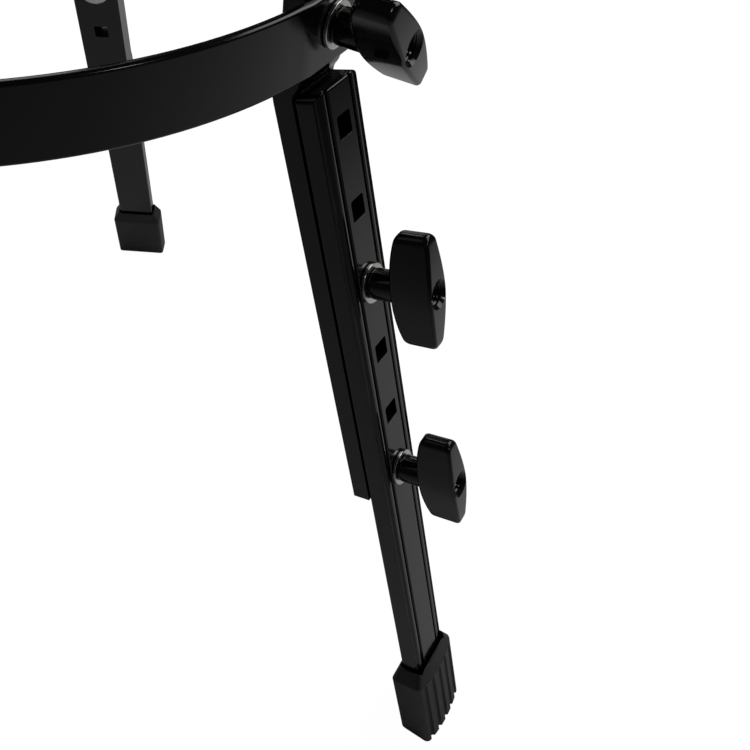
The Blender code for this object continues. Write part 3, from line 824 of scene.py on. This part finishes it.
@dataclass
class RubberFoot:
    """The boot under the extension: a sloping collar, a grooved front that bulges and a level sole."""

    half_width: float = 18.8 * MM
    front: float = 1.3 * MM
    rear: float = -14.8 * MM
    bulge: float = 2.1 * MM
    corner: float = 2.4 * MM
    shoulder: float = 300.5 * MM
    shoulder_droop: float = 2.2 * MM
    shoulder_rounding: float = 1.3 * MM
    shoulder_turn_deg: float = 28.0
    sole_rounding: float = 1.5 * MM
    lip: float = 0.8 * MM
    mouth_gap: float = 0.9 * MM
    mouth_depth: float = 4.0 * MM
    groove_count: int = 5
    groove_pitch: float = 7.0 * MM
    groove_radius: float = 1.5 * MM
    groove_depth: float = 1.05 * MM
    groove_run_out_deg: float = 0.9
    groove_below_shoulder: float = 1.5 * MM
    steps: int = 6

    def section(self, inset: float) -> list[Point2]:
        """Returns the outline across the leg, drawn in by an inset."""
        half = self.half_width - inset
        low = (self.rear + inset, -half)
        high = (self.front - inset, half)
        radius = max(self.corner - inset / 2, 0.6 * MM)
        outline = rounded_rectangle(low, high, radius, self.steps)
        widest = half - radius
        bulged = []
        for x, y in outline:
            share = max(0.0, (x - low[0] - radius) / (high[0] - low[0] - radius))
            bulged.append((x + share * self.bulge * max(0.0, 1 - (y / self.half_width) ** 2), y))
        first = bulged[0]
        last = bulged[-1]
        across = []
        pieces = 12
        for step in range(1, pieces):
            y = last[1] + (first[1] - last[1]) * step / pieces
            swell = self.bulge * (1 - (y / self.half_width) ** 2)
            across.append((high[0] + swell, min(max(y, -widest), widest)))
        return bulged + across

    def floor_height(self, x: float, height: float) -> float:
        """Returns how far up the leg a height above the floor is, at a depth across it."""
        return (height - FIRST_HOLE_HEIGHT - x * math.sin(LEAN)) / math.cos(LEAN)

    def outer_rings(self) -> list[Ring]:
        """Returns the rings of the outside, from the sole up to the collar's rim."""
        rings = []
        for step in range(self.steps):
            angle = step / self.steps * math.pi / 2
            inset = self.sole_rounding * (1 - math.sin(angle))
            rise = self.sole_rounding * (1 - math.cos(angle))
            rings.append([Vector((x, y, self.floor_height(x, rise))) for x, y in self.section(inset)])
        for step in range(self.steps + 1):
            angle = step / self.steps * math.radians(self.shoulder_turn_deg)
            inset = self.shoulder_rounding * (1 - math.cos(angle))
            rise = self.shoulder_rounding * (math.sin(angle) - 1)
            ring = []
            for x, y in self.section(inset):
                droop = self.shoulder_droop * max(0.0, 1 - (y / self.half_width) ** 2)
                forward = min(1.0, max(0.0, (x - self.rear) / (self.front - self.rear)))
                ring.append(Vector((x, y, -self.shoulder + rise - droop * forward)))
            rings.append(ring)
        rim = self.mouth_gap + self.lip
        reach_x = (EXTENSION_DEPTH / 2 + rim) / ((self.front + self.bulge - self.rear) / 2)
        reach_y = (EXTENSION_WIDTH / 2 + rim) / self.half_width
        middle = (self.front + self.bulge + self.rear) / 2
        for slim, drop in ((1.0, 0.5 * MM), (0.985, 0.12 * MM), (0.96, 0.0)):
            ring = []
            for x, y in self.section(0.0):
                place_x = -EXTENSION_DEPTH / 2 + (x - middle) * reach_x * slim
                ring.append(Vector((place_x, y * reach_y * slim, -FOOT_TOP - drop)))
            rings.append(ring)
        return rings

    def pocket(self) -> list[Solid]:
        """Returns the cutters of the pocket and of its wider mouth."""
        cuts = []
        for gap, floor, radius in (
            (CLEARANCE, FOOT_POCKET, 1.0 * MM),
            (self.mouth_gap, FOOT_TOP + self.mouth_depth, 2.0 * MM),
        ):
            half = EXTENSION_WIDTH / 2 + gap
            outline = rounded_rectangle((-EXTENSION_DEPTH - gap, -half), (gap, half), radius)
            heights = (-floor, -FOOT_TOP + 5.0 * MM)
            cuts.append(Solid.loft([[Vector((x, y, height)) for x, y in outline] for height in heights]))
        return cuts

    def groove_cutter(self) -> Solid:
        """Returns a round-nosed cutter that hangs down from the top of a groove."""
        rings = []
        points = 20
        radius = self.groove_radius
        nose = 6
        for step in range(nose + 1):
            angle = (1 - step / (nose + 0.3)) * math.pi / 2
            rings.append(upright_ring(-radius * (1 - math.sin(angle)), radius * math.cos(angle), points))
        rings = [ring for ring in rings if (ring[0] - ring[points // 2]).length > 0.1 * MM]
        rings.append(upright_ring(-60.0 * MM, radius, points))
        return Solid.loft(rings)

    def build(self, grooves: Recipe) -> Solid:
        """Builds the foot.

        Args:
            grooves: the recipe that spreads the groove cutters.

        Returns:
            The foot in the leg's own frame.
        """
        body = Solid.loft(self.outer_rings())
        values = {
            "Count": self.groove_count,
            "Pitch": self.groove_pitch,
            "Half Width": self.half_width,
            "Bulge": self.bulge,
            "Droop": self.shoulder_droop,
        }
        top = -self.shoulder - self.groove_below_shoulder
        out = self.front + self.groove_radius - self.groove_depth
        run_out = Matrix.Rotation(math.radians(self.groove_run_out_deg), 4, "Y")
        row = grooves.run(self.groove_cutter(), values).moved(Matrix.Translation((out, 0, top)) @ run_out)
        return body.combined([*self.pocket(), row], "DIFFERENCE").shaded(40)


def upright_ring(height: float, radius: float, points: int) -> Ring:
    """A circle round local Z."""
    turns = [math.tau * index / points for index in range(points)]
    return [Vector((radius * math.cos(turn), radius * math.sin(turn), height)) for turn in turns]


@dataclass
class TopCap:
    """The rubber cap over the top end of a bar."""

    wall: float = 2.5 * MM
    reach: float = 16.0 * MM
    corner: float = 2.6 * MM
    top_rounding: float = 1.5 * MM
    steps: int = 6

    def ring(self, height: float, inset: float, outward: float) -> Ring:
        """Returns a rounded rectangle round the bar, drawn in by an inset."""
        rear = BAR_FRONT_AT_UPPER - BAR_THICKNESS
        low = (rear - outward + inset, -BAR_WIDTH / 2 - outward + inset)
        high = (BAR_FRONT_AT_UPPER + outward - inset, BAR_WIDTH / 2 + outward - inset)
        outline = rounded_rectangle(low, high, max(self.corner - inset, 0.5 * MM), self.steps)
        return [Vector((x, y, height)) for x, y in outline]

    def build(self) -> Solid:
        """Builds the cap of leg 1."""
        outward = CLEARANCE + self.wall
        bottom = BAR_TOP - self.reach
        top = BAR_TOP + outward
        edge = 0.4 * MM
        rings = [self.ring(bottom, edge, outward), self.ring(bottom + edge, 0.0, outward)]
        for step in range(self.steps + 1):
            angle = step / self.steps * math.pi / 2
            inset = self.top_rounding * (1 - math.cos(angle))
            rings.append(self.ring(top - self.top_rounding * (1 - math.sin(angle)), inset, outward))
        hollow = Solid.loft([self.ring(bottom - 5.0 * MM, 0.0, CLEARANCE), self.ring(BAR_TOP + CLEARANCE, 0.0, CLEARANCE)])
        return Solid.loft(rings).combined([hollow], "DIFFERENCE").shaded(40)


@dataclass
class CarriageBolt:
    """A bolt with a domed head, a square neck and a threaded end, along local X."""

    grip: float
    radius: float = 3.85 * MM
    head_radius: float = 9.0 * MM
    head_height: float = 4.4 * MM
    neck_side: float = 7.8 * MM
    neck_length: float = 6.0 * MM
    reach: float = 22.5 * MM
    thread_depth: float = 0.5 * MM
    points: int = 36

    def neck_ring(self, along: float) -> Ring:
        """Returns a square with soft corners round local X."""
        sharpness = 9.0
        ring = []
        for index in range(self.points):
            turn = math.tau * index / self.points
            reach = (abs(math.cos(turn)) ** sharpness + abs(math.sin(turn)) ** sharpness) ** (1 / sharpness)
            radius = self.neck_side / 2 / reach
            ring.append(Vector((along, radius * math.cos(turn), radius * math.sin(turn))))
        return ring

    def thread_ring(self, along: float) -> Ring:
        """Returns the thread's section at a place."""
        ring = []
        ease = min(1.0, max(0.0, (self.reach - along) / (1.2 * MM)))
        for index in range(self.points):
            turn = math.tau * index / self.points
            root = self.radius - self.thread_depth
            radius = thread_radius(root, self.thread_depth * ease, along, turn)
            ring.append(Vector((along, radius * math.cos(turn), radius * math.sin(turn))))
        return ring

    def build(self) -> Solid:
        """Builds the bolt; zero is the face that its washer lies on."""
        under_head = -self.grip - CLEARANCE
        rim = 0.22 * self.head_height
        rings = []
        steps = 12
        for step in range(steps + 1):
            angle = (1 - step / steps) * math.radians(87)
            along = under_head - rim - (self.head_height - rim) * math.sin(angle)
            rings.append(round_ring(along, self.head_radius * math.cos(angle), self.points))
        rings.append(round_ring(under_head - 0.2 * MM, self.head_radius, self.points))
        rings.append(round_ring(under_head, self.head_radius - 0.2 * MM, self.points))
        rings.append(self.neck_ring(under_head))
        rings.append(self.neck_ring(under_head + self.neck_length))
        rings.append(round_ring(under_head + self.neck_length + 0.5 * MM, self.radius, self.points))
        rings.append(round_ring(-0.5 * MM, self.radius, self.points))
        pieces = 110
        for step in range(pieces + 1):
            rings.append(self.thread_ring(self.reach * step / pieces))
        return Solid.loft(rings).shaded(38)


@dataclass
class Washer:
    """A flat washer whose inner face is at zero, along local X."""

    radius: float = 7.9 * MM
    hole_radius: float = 4.25 * MM
    edge: float = 0.3 * MM

    def build(self) -> Solid:
        """Builds the washer with its edges broken."""
        low = (CLEARANCE, self.hole_radius)
        high = (CLEARANCE + WASHER_THICKNESS, self.radius)
        return Solid.revolved(rounded_rectangle(low, high, self.edge, 3), 64).shaded(40)


@dataclass
class WingNut:
    """A round hub under a thick wing, with a threaded bore and a countersunk mouth.

    Its inner face is at zero, the bolt runs along local X and the wing along local Z.
    """

    half_length: float = 23.7 * MM
    inner: float = 9.2 * MM
    inner_sweep: float = 2.8 * MM
    outer: float = 26.2 * MM
    outer_sweep: float = 1.3 * MM
    half_width: float = 6.5 * MM
    tip_half_width: float = 3.3 * MM
    crest_softness: float = 0.07
    swell_arch: float = 1.35
    corner: float = 1.5 * MM
    nose: float = 3.2 * MM
    nose_bluntness: float = 0.25
    tip_rounding: float = 1.7 * MM
    hub_radius: float = 6.1 * MM
    hub_rounding: float = 0.9 * MM
    bore_radius: float = 4.2 * MM
    mouth_radius: float = 5.8 * MM
    mouth_depth: float = 1.5 * MM
    thread_depth: float = 0.45 * MM
    points: int = 44

    def wing_ring(self, share: float) -> Ring:
        """Returns the section across the wing at a share of its half length."""
        away = abs(share)
        crest = math.sqrt(away**2 + self.crest_softness**2) - self.crest_softness
        slope = (crest / (math.sqrt(1 + self.crest_softness**2) - self.crest_softness)) ** self.swell_arch
        into_nose = max(0.0, 1 - (1 - away) * self.half_length / self.nose)
        roundness = math.sqrt(max(0.0, 1 - into_nose**2))
        inset = self.tip_rounding * (1 - roundness)
        inner = self.inner + self.inner_sweep * away**3 + inset
        outer = self.outer - self.outer_sweep * away**2 - inset
        half = self.half_width + (self.tip_half_width - self.half_width) * slope
        half *= self.nose_bluntness + (1 - self.nose_bluntness) * roundness
        radius = min(self.corner, 0.95 * half)
        outline = rounded_rectangle((inner, -half), (outer, half), radius, 7)
        return [Vector((x, y, share * self.half_length)) for x, y in outline]

    def shares(self) -> list[float]:
        """Returns where the sections are, closer together at the crest and at the tips."""
        near_tip = self.nose / self.half_length
        inside = [step / 22 * (1 - near_tip) for step in range(1, 23)]
        at_tip = [1 - near_tip * (1 - math.sin(step / 14 * math.pi / 2)) for step in range(1, 15)]
        crest = [0.01, 0.02, 0.03]
        upper = sorted(crest + inside + at_tip)
        return [-share for share in reversed(upper)] + [0.0] + upper

    def hub(self) -> Solid:
        """Returns the round hub, its inner end rolled over."""
        rings = []
        steps = 6
        for step in range(steps + 1):
            angle = step / steps * math.pi / 2
            along = self.hub_rounding * (1 - math.sin(angle))
            rings.append((along, self.hub_radius - self.hub_rounding * (1 - math.cos(angle))))
        profile = sorted(rings)
        profile.append((self.inner + 3.0 * MM, self.hub_radius))
        return Solid.loft([round_ring(along, radius, self.points) for along, radius in profile])

    def bore(self) -> Solid:
        """Returns the cutter of the bore: thread, then the countersunk mouth."""
        start = -1.0 * MM
        end = self.outer - self.mouth_depth
        pieces = 124
        rings = []
        for step in range(pieces + 1):
            along = start + (end - start) * step / pieces
            ring = []
            for index in range(self.points):
                turn = math.tau * index / self.points
                radius = thread_radius(self.bore_radius, self.thread_depth, along, turn)
                ring.append(Vector((along, radius * math.cos(turn), radius * math.sin(turn))))
            rings.append(ring)
        past = 1.0 * MM
        widening = (self.mouth_radius - self.bore_radius) / self.mouth_depth
        rings.append(round_ring(end + 0.3 * MM, self.bore_radius + 0.55 * MM, self.points))
        rings.append(round_ring(self.outer + past, self.mouth_radius + past * widening, self.points))
        return Solid.loft(rings)

    def build(self) -> Solid:
        """Builds the wing nut."""
        wing = Solid.loft([self.wing_ring(share) for share in self.shares()])
        whole = wing.combined([self.hub()], "UNION")
        return whole.combined([self.bore()], "DIFFERENCE").shaded(32)


@dataclass
class Leg:
    """One leg: its bar, its extension with the foot, and its cap."""

    bar: Solid
    extension: Solid
    foot: Solid
    cap: Solid

    def place(self, layout: Layout, leg: int, showroom: Showroom) -> None:
        """Shows the four pieces of a leg.

        Args:
            layout: where the legs are.
            leg: the leg, counted from zero.
            showroom: where the pieces go on show.
        """
        around = layout.around(leg)
        leaning = around @ LEG_PLACE
        showroom.show(f"main_leg_{leg + 1}", self.bar.moved(around), Finish.PAINT)
        showroom.show(f"leg_extension_{leg + 1}", self.extension.moved(leaning), Finish.PAINT)
        showroom.show(f"foot_{leg + 1}", self.foot.moved(leaning), Finish.RUBBER)
        showroom.show(f"top_cap_{leg + 1}", self.cap.moved(around), Finish.RUBBER)


@dataclass
class Fastening:
    """A bolt, its washer and its wing nut at one kind of place."""

    place_kind: BoltPlace
    nut_turn_deg: float
    bolt: Solid
    washer: Solid
    nut: Solid

    def place(self, layout: Layout, leg: int, showroom: Showroom) -> None:
        """Shows the three pieces at a leg.

        Args:
            layout: where the legs are.
            leg: the leg, counted from zero.
            showroom: where the pieces go on show.
        """
        face = layout.around(leg) @ layout.bolt_face(self.place_kind)
        name = self.place_kind.value
        turn = Matrix.Rotation(math.radians(self.nut_turn_deg), 4, "X")
        nut_place = face @ Matrix.Translation((NUT_START, 0, 0)) @ turn
        nut_name = f"{name}_wing_nut_{leg + 1}"
        showroom.show(f"{name}_bolt_{leg + 1}", self.bolt.moved(face), Finish.ZINC)
        showroom.show(f"{name}_washer_{leg + 1}", self.washer.moved(face), Finish.ZINC)
        showroom.show(nut_name, self.nut.moved(nut_place), Finish.NUT, nut_name)


@dataclass
class CongaStand:
    """The whole stand."""

    layout: Layout
    showroom: Showroom

    def build_hoops(self) -> None:
        """Builds the two hoops."""
        recipe = band_recipe()
        for hoop in (
            Hoop("lower_hoop", LOWER_SEAT_RADIUS, LOWER_BAND_BOTTOM),
            Hoop("upper_hoop", UPPER_SEAT_RADIUS, UPPER_BAND_BOTTOM),
        ):
            solid = hoop.build(recipe).moved(self.layout.around(0))
            self.showroom.show(hoop.node, solid, Finish.PAINT)

    def build_legs(self) -> None:
        """Builds the three legs."""
        holes = hole_row_recipe()
        foot = RubberFoot().build(groove_recipe())
        leg = Leg(FlatBar().build(holes), RailBar().build(holes), foot, TopCap().build())
        for number in range(LEG_COUNT):
            leg.place(self.layout, number, self.showroom)

    def build_fastenings(self) -> None:
        """Builds the twelve bolts with their washers and wing nuts."""
        height_bolt = CarriageBolt(-BAR_REAR - FACE_RECESS).build()
        hoop_bolt = CarriageBolt(BAND_THICKNESS + CLEARANCE + BAR_THICKNESS).build()
        washer = Washer().build()
        nut = WingNut().build()
        for fastening in (
            Fastening(BoltPlace.HEIGHT_LOWER, 1.9, height_bolt, washer, nut),
            Fastening(BoltPlace.HEIGHT_UPPER, -3.4, height_bolt, washer, nut),
            Fastening(BoltPlace.LOWER_HOOP, 42.5, hoop_bolt, washer, nut),
            Fastening(BoltPlace.UPPER_HOOP, -20.0, hoop_bolt, washer, nut),
        ):
            for leg in range(LEG_COUNT):
                fastening.place(self.layout, leg, self.showroom)

    def build(self) -> None:
        """Builds the hoops, the legs and what holds them together."""
        self.build_hoops()
        self.build_legs()
        self.build_fastenings()


@dataclass
class SurfaceEffects:
    """Shader node groups that more than one finish uses."""

    groups: dict[str, bpy.types.NodeTree] = field(default_factory=dict)

    def group(self, name: str, fill: Callable[[bpy.types.NodeTree], None]) -> bpy.types.NodeTree:
        """Returns a node group, built the first time it is asked for.

        Args:
            name: name of the group.
            fill: adds its sockets and nodes.

        Returns:
            The group.
        """
        if name not in self.groups:
            tree = bpy.data.node_groups.new(name, "ShaderNodeTree")
            fill(tree)
            self.groups[name] = tree
        return self.groups[name]

    def grain(self) -> bpy.types.NodeTree:
        """Fine unevenness: Vector, Scale, Low and High in, Roughness and Height out."""
        return self.group("surface_grain", self.fill_grain)

    def fill_grain(self, tree: bpy.types.NodeTree) -> None:
        """Adds the nodes of the grain."""
        face = tree.interface
        face.new_socket(name="Vector", in_out="INPUT", socket_type="NodeSocketVector")
        for name in ("Scale", "Low", "High"):
            face.new_socket(name=name, in_out="INPUT", socket_type="NodeSocketFloat")
        for name in ("Roughness", "Height"):
            face.new_socket(name=name, in_out="OUTPUT", socket_type="NodeSocketFloat")
        entry = tree.nodes.new("NodeGroupInput")
        result = tree.nodes.new("NodeGroupOutput")
        noise = tree.nodes.new("ShaderNodeTexNoise")
        noise.inputs["Detail"].default_value = 4.0
        spread = tree.nodes.new("ShaderNodeMapRange")
        tree.links.new(entry.outputs["Vector"], noise.inputs["Vector"])
        tree.links.new(entry.outputs["Scale"], noise.inputs["Scale"])
        tree.links.new(noise.outputs["Fac"], spread.inputs["Value"])
        tree.links.new(entry.outputs["Low"], spread.inputs["To Min"])
        tree.links.new(entry.outputs["High"], spread.inputs["To Max"])
        tree.links.new(spread.outputs["Result"], result.inputs["Roughness"])
        tree.links.new(noise.outputs["Fac"], result.inputs["Height"])

    def shades(self) -> bpy.types.NodeTree:
        """Slow drift between two colours: Vector, Scale, First and Second in, Color out."""
        return self.group("surface_shades", self.fill_shades)

    def fill_shades(self, tree: bpy.types.NodeTree) -> None:
        """Adds the nodes of the colour drift."""
        face = tree.interface
        face.new_socket(name="Vector", in_out="INPUT", socket_type="NodeSocketVector")
        face.new_socket(name="Scale", in_out="INPUT", socket_type="NodeSocketFloat")
        for name in ("First", "Second"):
            face.new_socket(name=name, in_out="INPUT", socket_type="NodeSocketColor")
        face.new_socket(name="Color", in_out="OUTPUT", socket_type="NodeSocketColor")
        entry = tree.nodes.new("NodeGroupInput")
        result = tree.nodes.new("NodeGroupOutput")
        noise = tree.nodes.new("ShaderNodeTexNoise")
        noise.inputs["Detail"].default_value = 2.0
        blend = tree.nodes.new("ShaderNodeMix")
        blend.data_type = "RGBA"
        tree.links.new(entry.outputs["Vector"], noise.inputs["Vector"])
        tree.links.new(entry.outputs["Scale"], noise.inputs["Scale"])
        tree.links.new(noise.outputs["Fac"], blend.inputs[0])
        tree.links.new(entry.outputs["First"], blend.inputs[6])
        tree.links.new(entry.outputs["Second"], blend.inputs[7])
        tree.links.new(blend.outputs[2], result.inputs["Color"])


@dataclass(frozen=True)
class SurfaceFinish:
    """One finish: its two shades, its gloss and how fine its unevenness is."""

    name: str
    first: tuple[float, float, float]
    second: tuple[float, float, float]
    metallic: float
    roughness: tuple[float, float]
    grain_scale: float
    shade_scale: float
    bump_height: float
    coat: float = 0.0

    def material(self, effects: SurfaceEffects) -> bpy.types.Material:
        """Builds the finish as a Principled material.

        Args:
            effects: the shared node groups.

        Returns:
            The finished material.
        """
        made = bpy.data.materials.new(self.name)
        made.use_nodes = True
        nodes = made.node_tree.nodes
        links = made.node_tree.links
        shader = nodes["Principled BSDF"]
        shader.inputs["Metallic"].default_value = self.metallic
        shader.inputs["Coat Weight"].default_value = self.coat
        place = nodes.new("ShaderNodeTexCoord")
        shades = nodes.new("ShaderNodeGroup")
        shades.node_tree = effects.shades()
        shades.inputs["Scale"].default_value = self.shade_scale
        shades.inputs["First"].default_value = (*self.first, 1)
        shades.inputs["Second"].default_value = (*self.second, 1)
        grain = nodes.new("ShaderNodeGroup")
        grain.node_tree = effects.grain()
        grain.inputs["Scale"].default_value = self.grain_scale
        grain.inputs["Low"].default_value = self.roughness[0]
        grain.inputs["High"].default_value = self.roughness[1]
        bump = nodes.new("ShaderNodeBump")
        bump.inputs["Strength"].default_value = 0.35
        bump.inputs["Distance"].default_value = self.bump_height
        links.new(place.outputs["Object"], grain.inputs["Vector"])
        links.new(place.outputs["Object"], shades.inputs["Vector"])
        links.new(shades.outputs["Color"], shader.inputs["Base Color"])
        links.new(grain.outputs["Roughness"], shader.inputs["Roughness"])
        links.new(grain.outputs["Height"], bump.inputs["Height"])
        links.new(bump.outputs["Normal"], shader.inputs["Normal"])
        return made


def black_paint() -> SurfaceFinish:
    """Smooth black powder coat."""
    dark = (0.0035, 0.0035, 0.0038)
    return SurfaceFinish("paint_black", dark, (0.005, 0.005, 0.0054), 0.0, (0.12, 0.17), 300, 30, 0.0015 * MM)


def black_nut() -> SurfaceFinish:
    """Glossy black over cast metal."""
    dark = (0.003, 0.003, 0.0032)
    return SurfaceFinish("nut_black_gloss", dark, (0.005, 0.005, 0.005), 0.0, (0.1, 0.15), 300, 60, 0.0015 * MM, 0.0)


def zinc() -> SurfaceFinish:
    """Bright zinc plating."""
    return SurfaceFinish("zinc_bright", (0.62, 0.61, 0.58), (0.7, 0.69, 0.67), 1.0, (0.16, 0.32), 1200, 400, 0.01 * MM)


def black_rubber() -> SurfaceFinish:
    """Moulded rubber, nearly matt."""
    dark = (0.008, 0.008, 0.008)
    return SurfaceFinish("rubber_black", dark, (0.013, 0.013, 0.013), 0.0, (0.42, 0.56), 2500, 200, 0.05 * MM)


@dataclass
class Studio:
    """The white room: floor, sky, lamps and the camera of the photograph."""

    axis: Vector
    floor_size: float = 12.0
    glossy_share: float = 0.02
    rear_pool_turns_deg: tuple[float, ...] = (110.0, 150.0, 190.0)
    rear_pool_distance: float = 1.3
    rear_pool_height: float = 0.6
    camera_place: tuple[float, float, float] = (0.283107, -0.239651, 0.492250)
    camera_turn_deg: tuple[float, float, float] = (46.659792, -1.617975, 34.243667)
    focal_pixels: float = 890.94
    centre_pixels: tuple[float, float] = (250.0, 320.664)
    sensor_mm: float = 36.0

    def white_ground(
        self, tree: bpy.types.NodeTree, lit: bpy.types.NodeSocket, share: float, strength: float
    ) -> bpy.types.NodeSocket:
        """Mixes a shader with plain white for the camera, and with a little of it for gloss.

        Args:
            tree: the node tree of the material or world.
            lit: output socket of the shader that other rays see.
            share: share of white that the camera sees, 0 to 1.
            strength: brightness of that white.

        Returns:
            The output socket of the mix.
        """
        nodes = tree.nodes
        links = tree.links
        rays = nodes.new("ShaderNodeLightPath")
        part = 0.0
        for ray, weight in (
            ("Is Camera Ray", share),
            ("Is Glossy Ray", self.glossy_share),
            ("Is Transmission Ray", self.glossy_share),
        ):
            add = nodes.new("ShaderNodeMath")
            add.operation = "MULTIPLY_ADD"
            add.inputs[1].default_value = weight
            links.new(rays.outputs[ray], add.inputs[0])
            if part:
                links.new(part, add.inputs[2])
            else:
                add.inputs[2].default_value = 0.0
            part = add.outputs["Value"]
        white = nodes.new("ShaderNodeEmission" if lit.node.type != "BACKGROUND" else "ShaderNodeBackground")
        white.inputs["Strength"].default_value = strength
        white.inputs["Color"].default_value = (1, 1, 1, 1)
        mix = nodes.new("ShaderNodeMixShader")
        links.new(part, mix.inputs["Fac"])
        links.new(lit, mix.inputs[1])
        links.new(white.outputs[0], mix.inputs[2])
        return mix.outputs["Shader"]

    def build_floor(self) -> None:
        """Lays the pale floor that keeps the stand's shadow."""
        bpy.ops.mesh.primitive_plane_add(size=self.floor_size, location=(0, 0, -0.0002))
        floor = bpy.context.object
        floor.name = "studio_floor"
        pale = bpy.data.materials.new("studio_floor")
        pale.use_nodes = True
        nodes = pale.node_tree.nodes
        links = pale.node_tree.links
        nodes.clear()
        diffuse = nodes.new("ShaderNodeBsdfDiffuse")
        diffuse.inputs["Color"].default_value = (0.86, 0.86, 0.86, 1)
        surface = self.white_ground(pale.node_tree, diffuse.outputs["BSDF"], 0.85, 1.15)
        result = nodes.new("ShaderNodeOutputMaterial")
        links.new(surface, result.inputs["Surface"])
        floor.data.materials.append(pale)

    def build_world(self) -> None:
        """Makes the sky: plain grey light, white where the camera sees it."""
        world = bpy.data.worlds.new("studio_world")
        bpy.context.scene.world = world
        world.use_nodes = True
        nodes = world.node_tree.nodes
        links = world.node_tree.links
        nodes.clear()
        grey = nodes.new("ShaderNodeBackground")
        grey.inputs["Color"].default_value = (1, 1, 1, 1)
        grey.inputs["Strength"].default_value = 0.012
        surface = self.white_ground(world.node_tree, grey.outputs["Background"], 1.0, 1.0)
        result = nodes.new("ShaderNodeOutputWorld")
        links.new(surface, result.inputs["Surface"])

    def add_lamp(self, name: str, place: Vector, aim: Vector, size: float, watts: float) -> None:
        """Adds one soft square lamp.

        Args:
            name: name of the lamp.
            place: where it hangs, in metres.
            aim: the point that it faces.
            size: side of the square.
            watts: its power.
        """
        light = bpy.data.lights.new(name, "AREA")
        light.size = size
        light.energy = watts
        lamp = bpy.data.objects.new(name, light)
        lamp.location = place
        lamp.rotation_euler = (aim - place).to_track_quat("-Z", "Y").to_euler()
        lamp.visible_camera = False
        bpy.context.scene.collection.objects.link(lamp)

    def build_camera(self) -> None:
        """Sets the camera of the photograph, fitted to its edges and holes."""
        lens = bpy.data.cameras.new("photo_camera")
        lens.sensor_width = self.sensor_mm
        lens.lens = self.focal_pixels / PICTURE_SIZE * self.sensor_mm
        lens.shift_x = (PICTURE_SIZE / 2 - self.centre_pixels[0]) / PICTURE_SIZE
        lens.shift_y = (self.centre_pixels[1] - PICTURE_SIZE / 2) / PICTURE_SIZE
        lens.clip_start = 0.01
        camera = bpy.data.objects.new("photo_camera", lens)
        camera.location = Vector(self.camera_place) + self.axis
        camera.rotation_euler = [math.radians(angle) for angle in self.camera_turn_deg]
        bpy.context.scene.collection.objects.link(camera)
        bpy.context.scene.camera = camera

    def build(self) -> None:
        """Builds the floor, the sky, the lamps and the camera."""
        self.build_floor()
        self.build_world()
        middle = self.axis + Vector((0, 0, 0.3))
        self.add_lamp("pool", Vector((0.42, 0.5, 0.75)), Vector((0.42, 0.5, 0)), 0.6, 2.7)
        self.add_lamp("back", Vector((-1.0, 0.75, 1.3)), middle, 0.6, 2)
        self.add_lamp("glint", Vector((1.5, -0.3, 1.5)), middle, 0.25, 1.5)
        self.add_lamp("fill", Vector((-1.6, -1.2, 1.8)), middle, 1.0, 0.6)
        for number, turn_deg in enumerate(self.rear_pool_turns_deg):
            away = Matrix.Rotation(math.radians(turn_deg), 3, "Z") @ Vector((self.rear_pool_distance, 0, 0))
            above = away + Vector((0, 0, self.rear_pool_height))
            self.add_lamp(f"rear_pool_{number + 1}", above, away, 0.4, 1.3)
        self.build_camera()
        bpy.context.scene.view_settings.view_transform = "Standard"


def hoop_axis() -> Vector:
    """Returns where the hoops' axis meets the floor, from the washers round the lower hoop."""
    boxes = [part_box(f"lower_hoop_washer_{leg + 1}") for leg in range(LEG_COUNT)]
    x, y = (sum((low[side] + high[side]) / 2 for low, high in boxes) / LEG_COUNT for side in (0, 1))
    return Vector((x, y, 0))


def main() -> None:
    """Loads the frame, builds the stand and sets up the studio."""
    logging.basicConfig(level=logging.INFO, format="%(name)s: %(message)s")
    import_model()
    effects = SurfaceEffects()
    finishes = {
        Finish.PAINT: black_paint().material(effects),
        Finish.NUT: black_nut().material(effects),
        Finish.ZINC: zinc().material(effects),
        Finish.RUBBER: black_rubber().material(effects),
    }
    axis = hoop_axis()
    CongaStand(Layout(axis), Showroom(finishes)).build()
    Studio(axis).build()


if __name__ == "__main__":
    main()
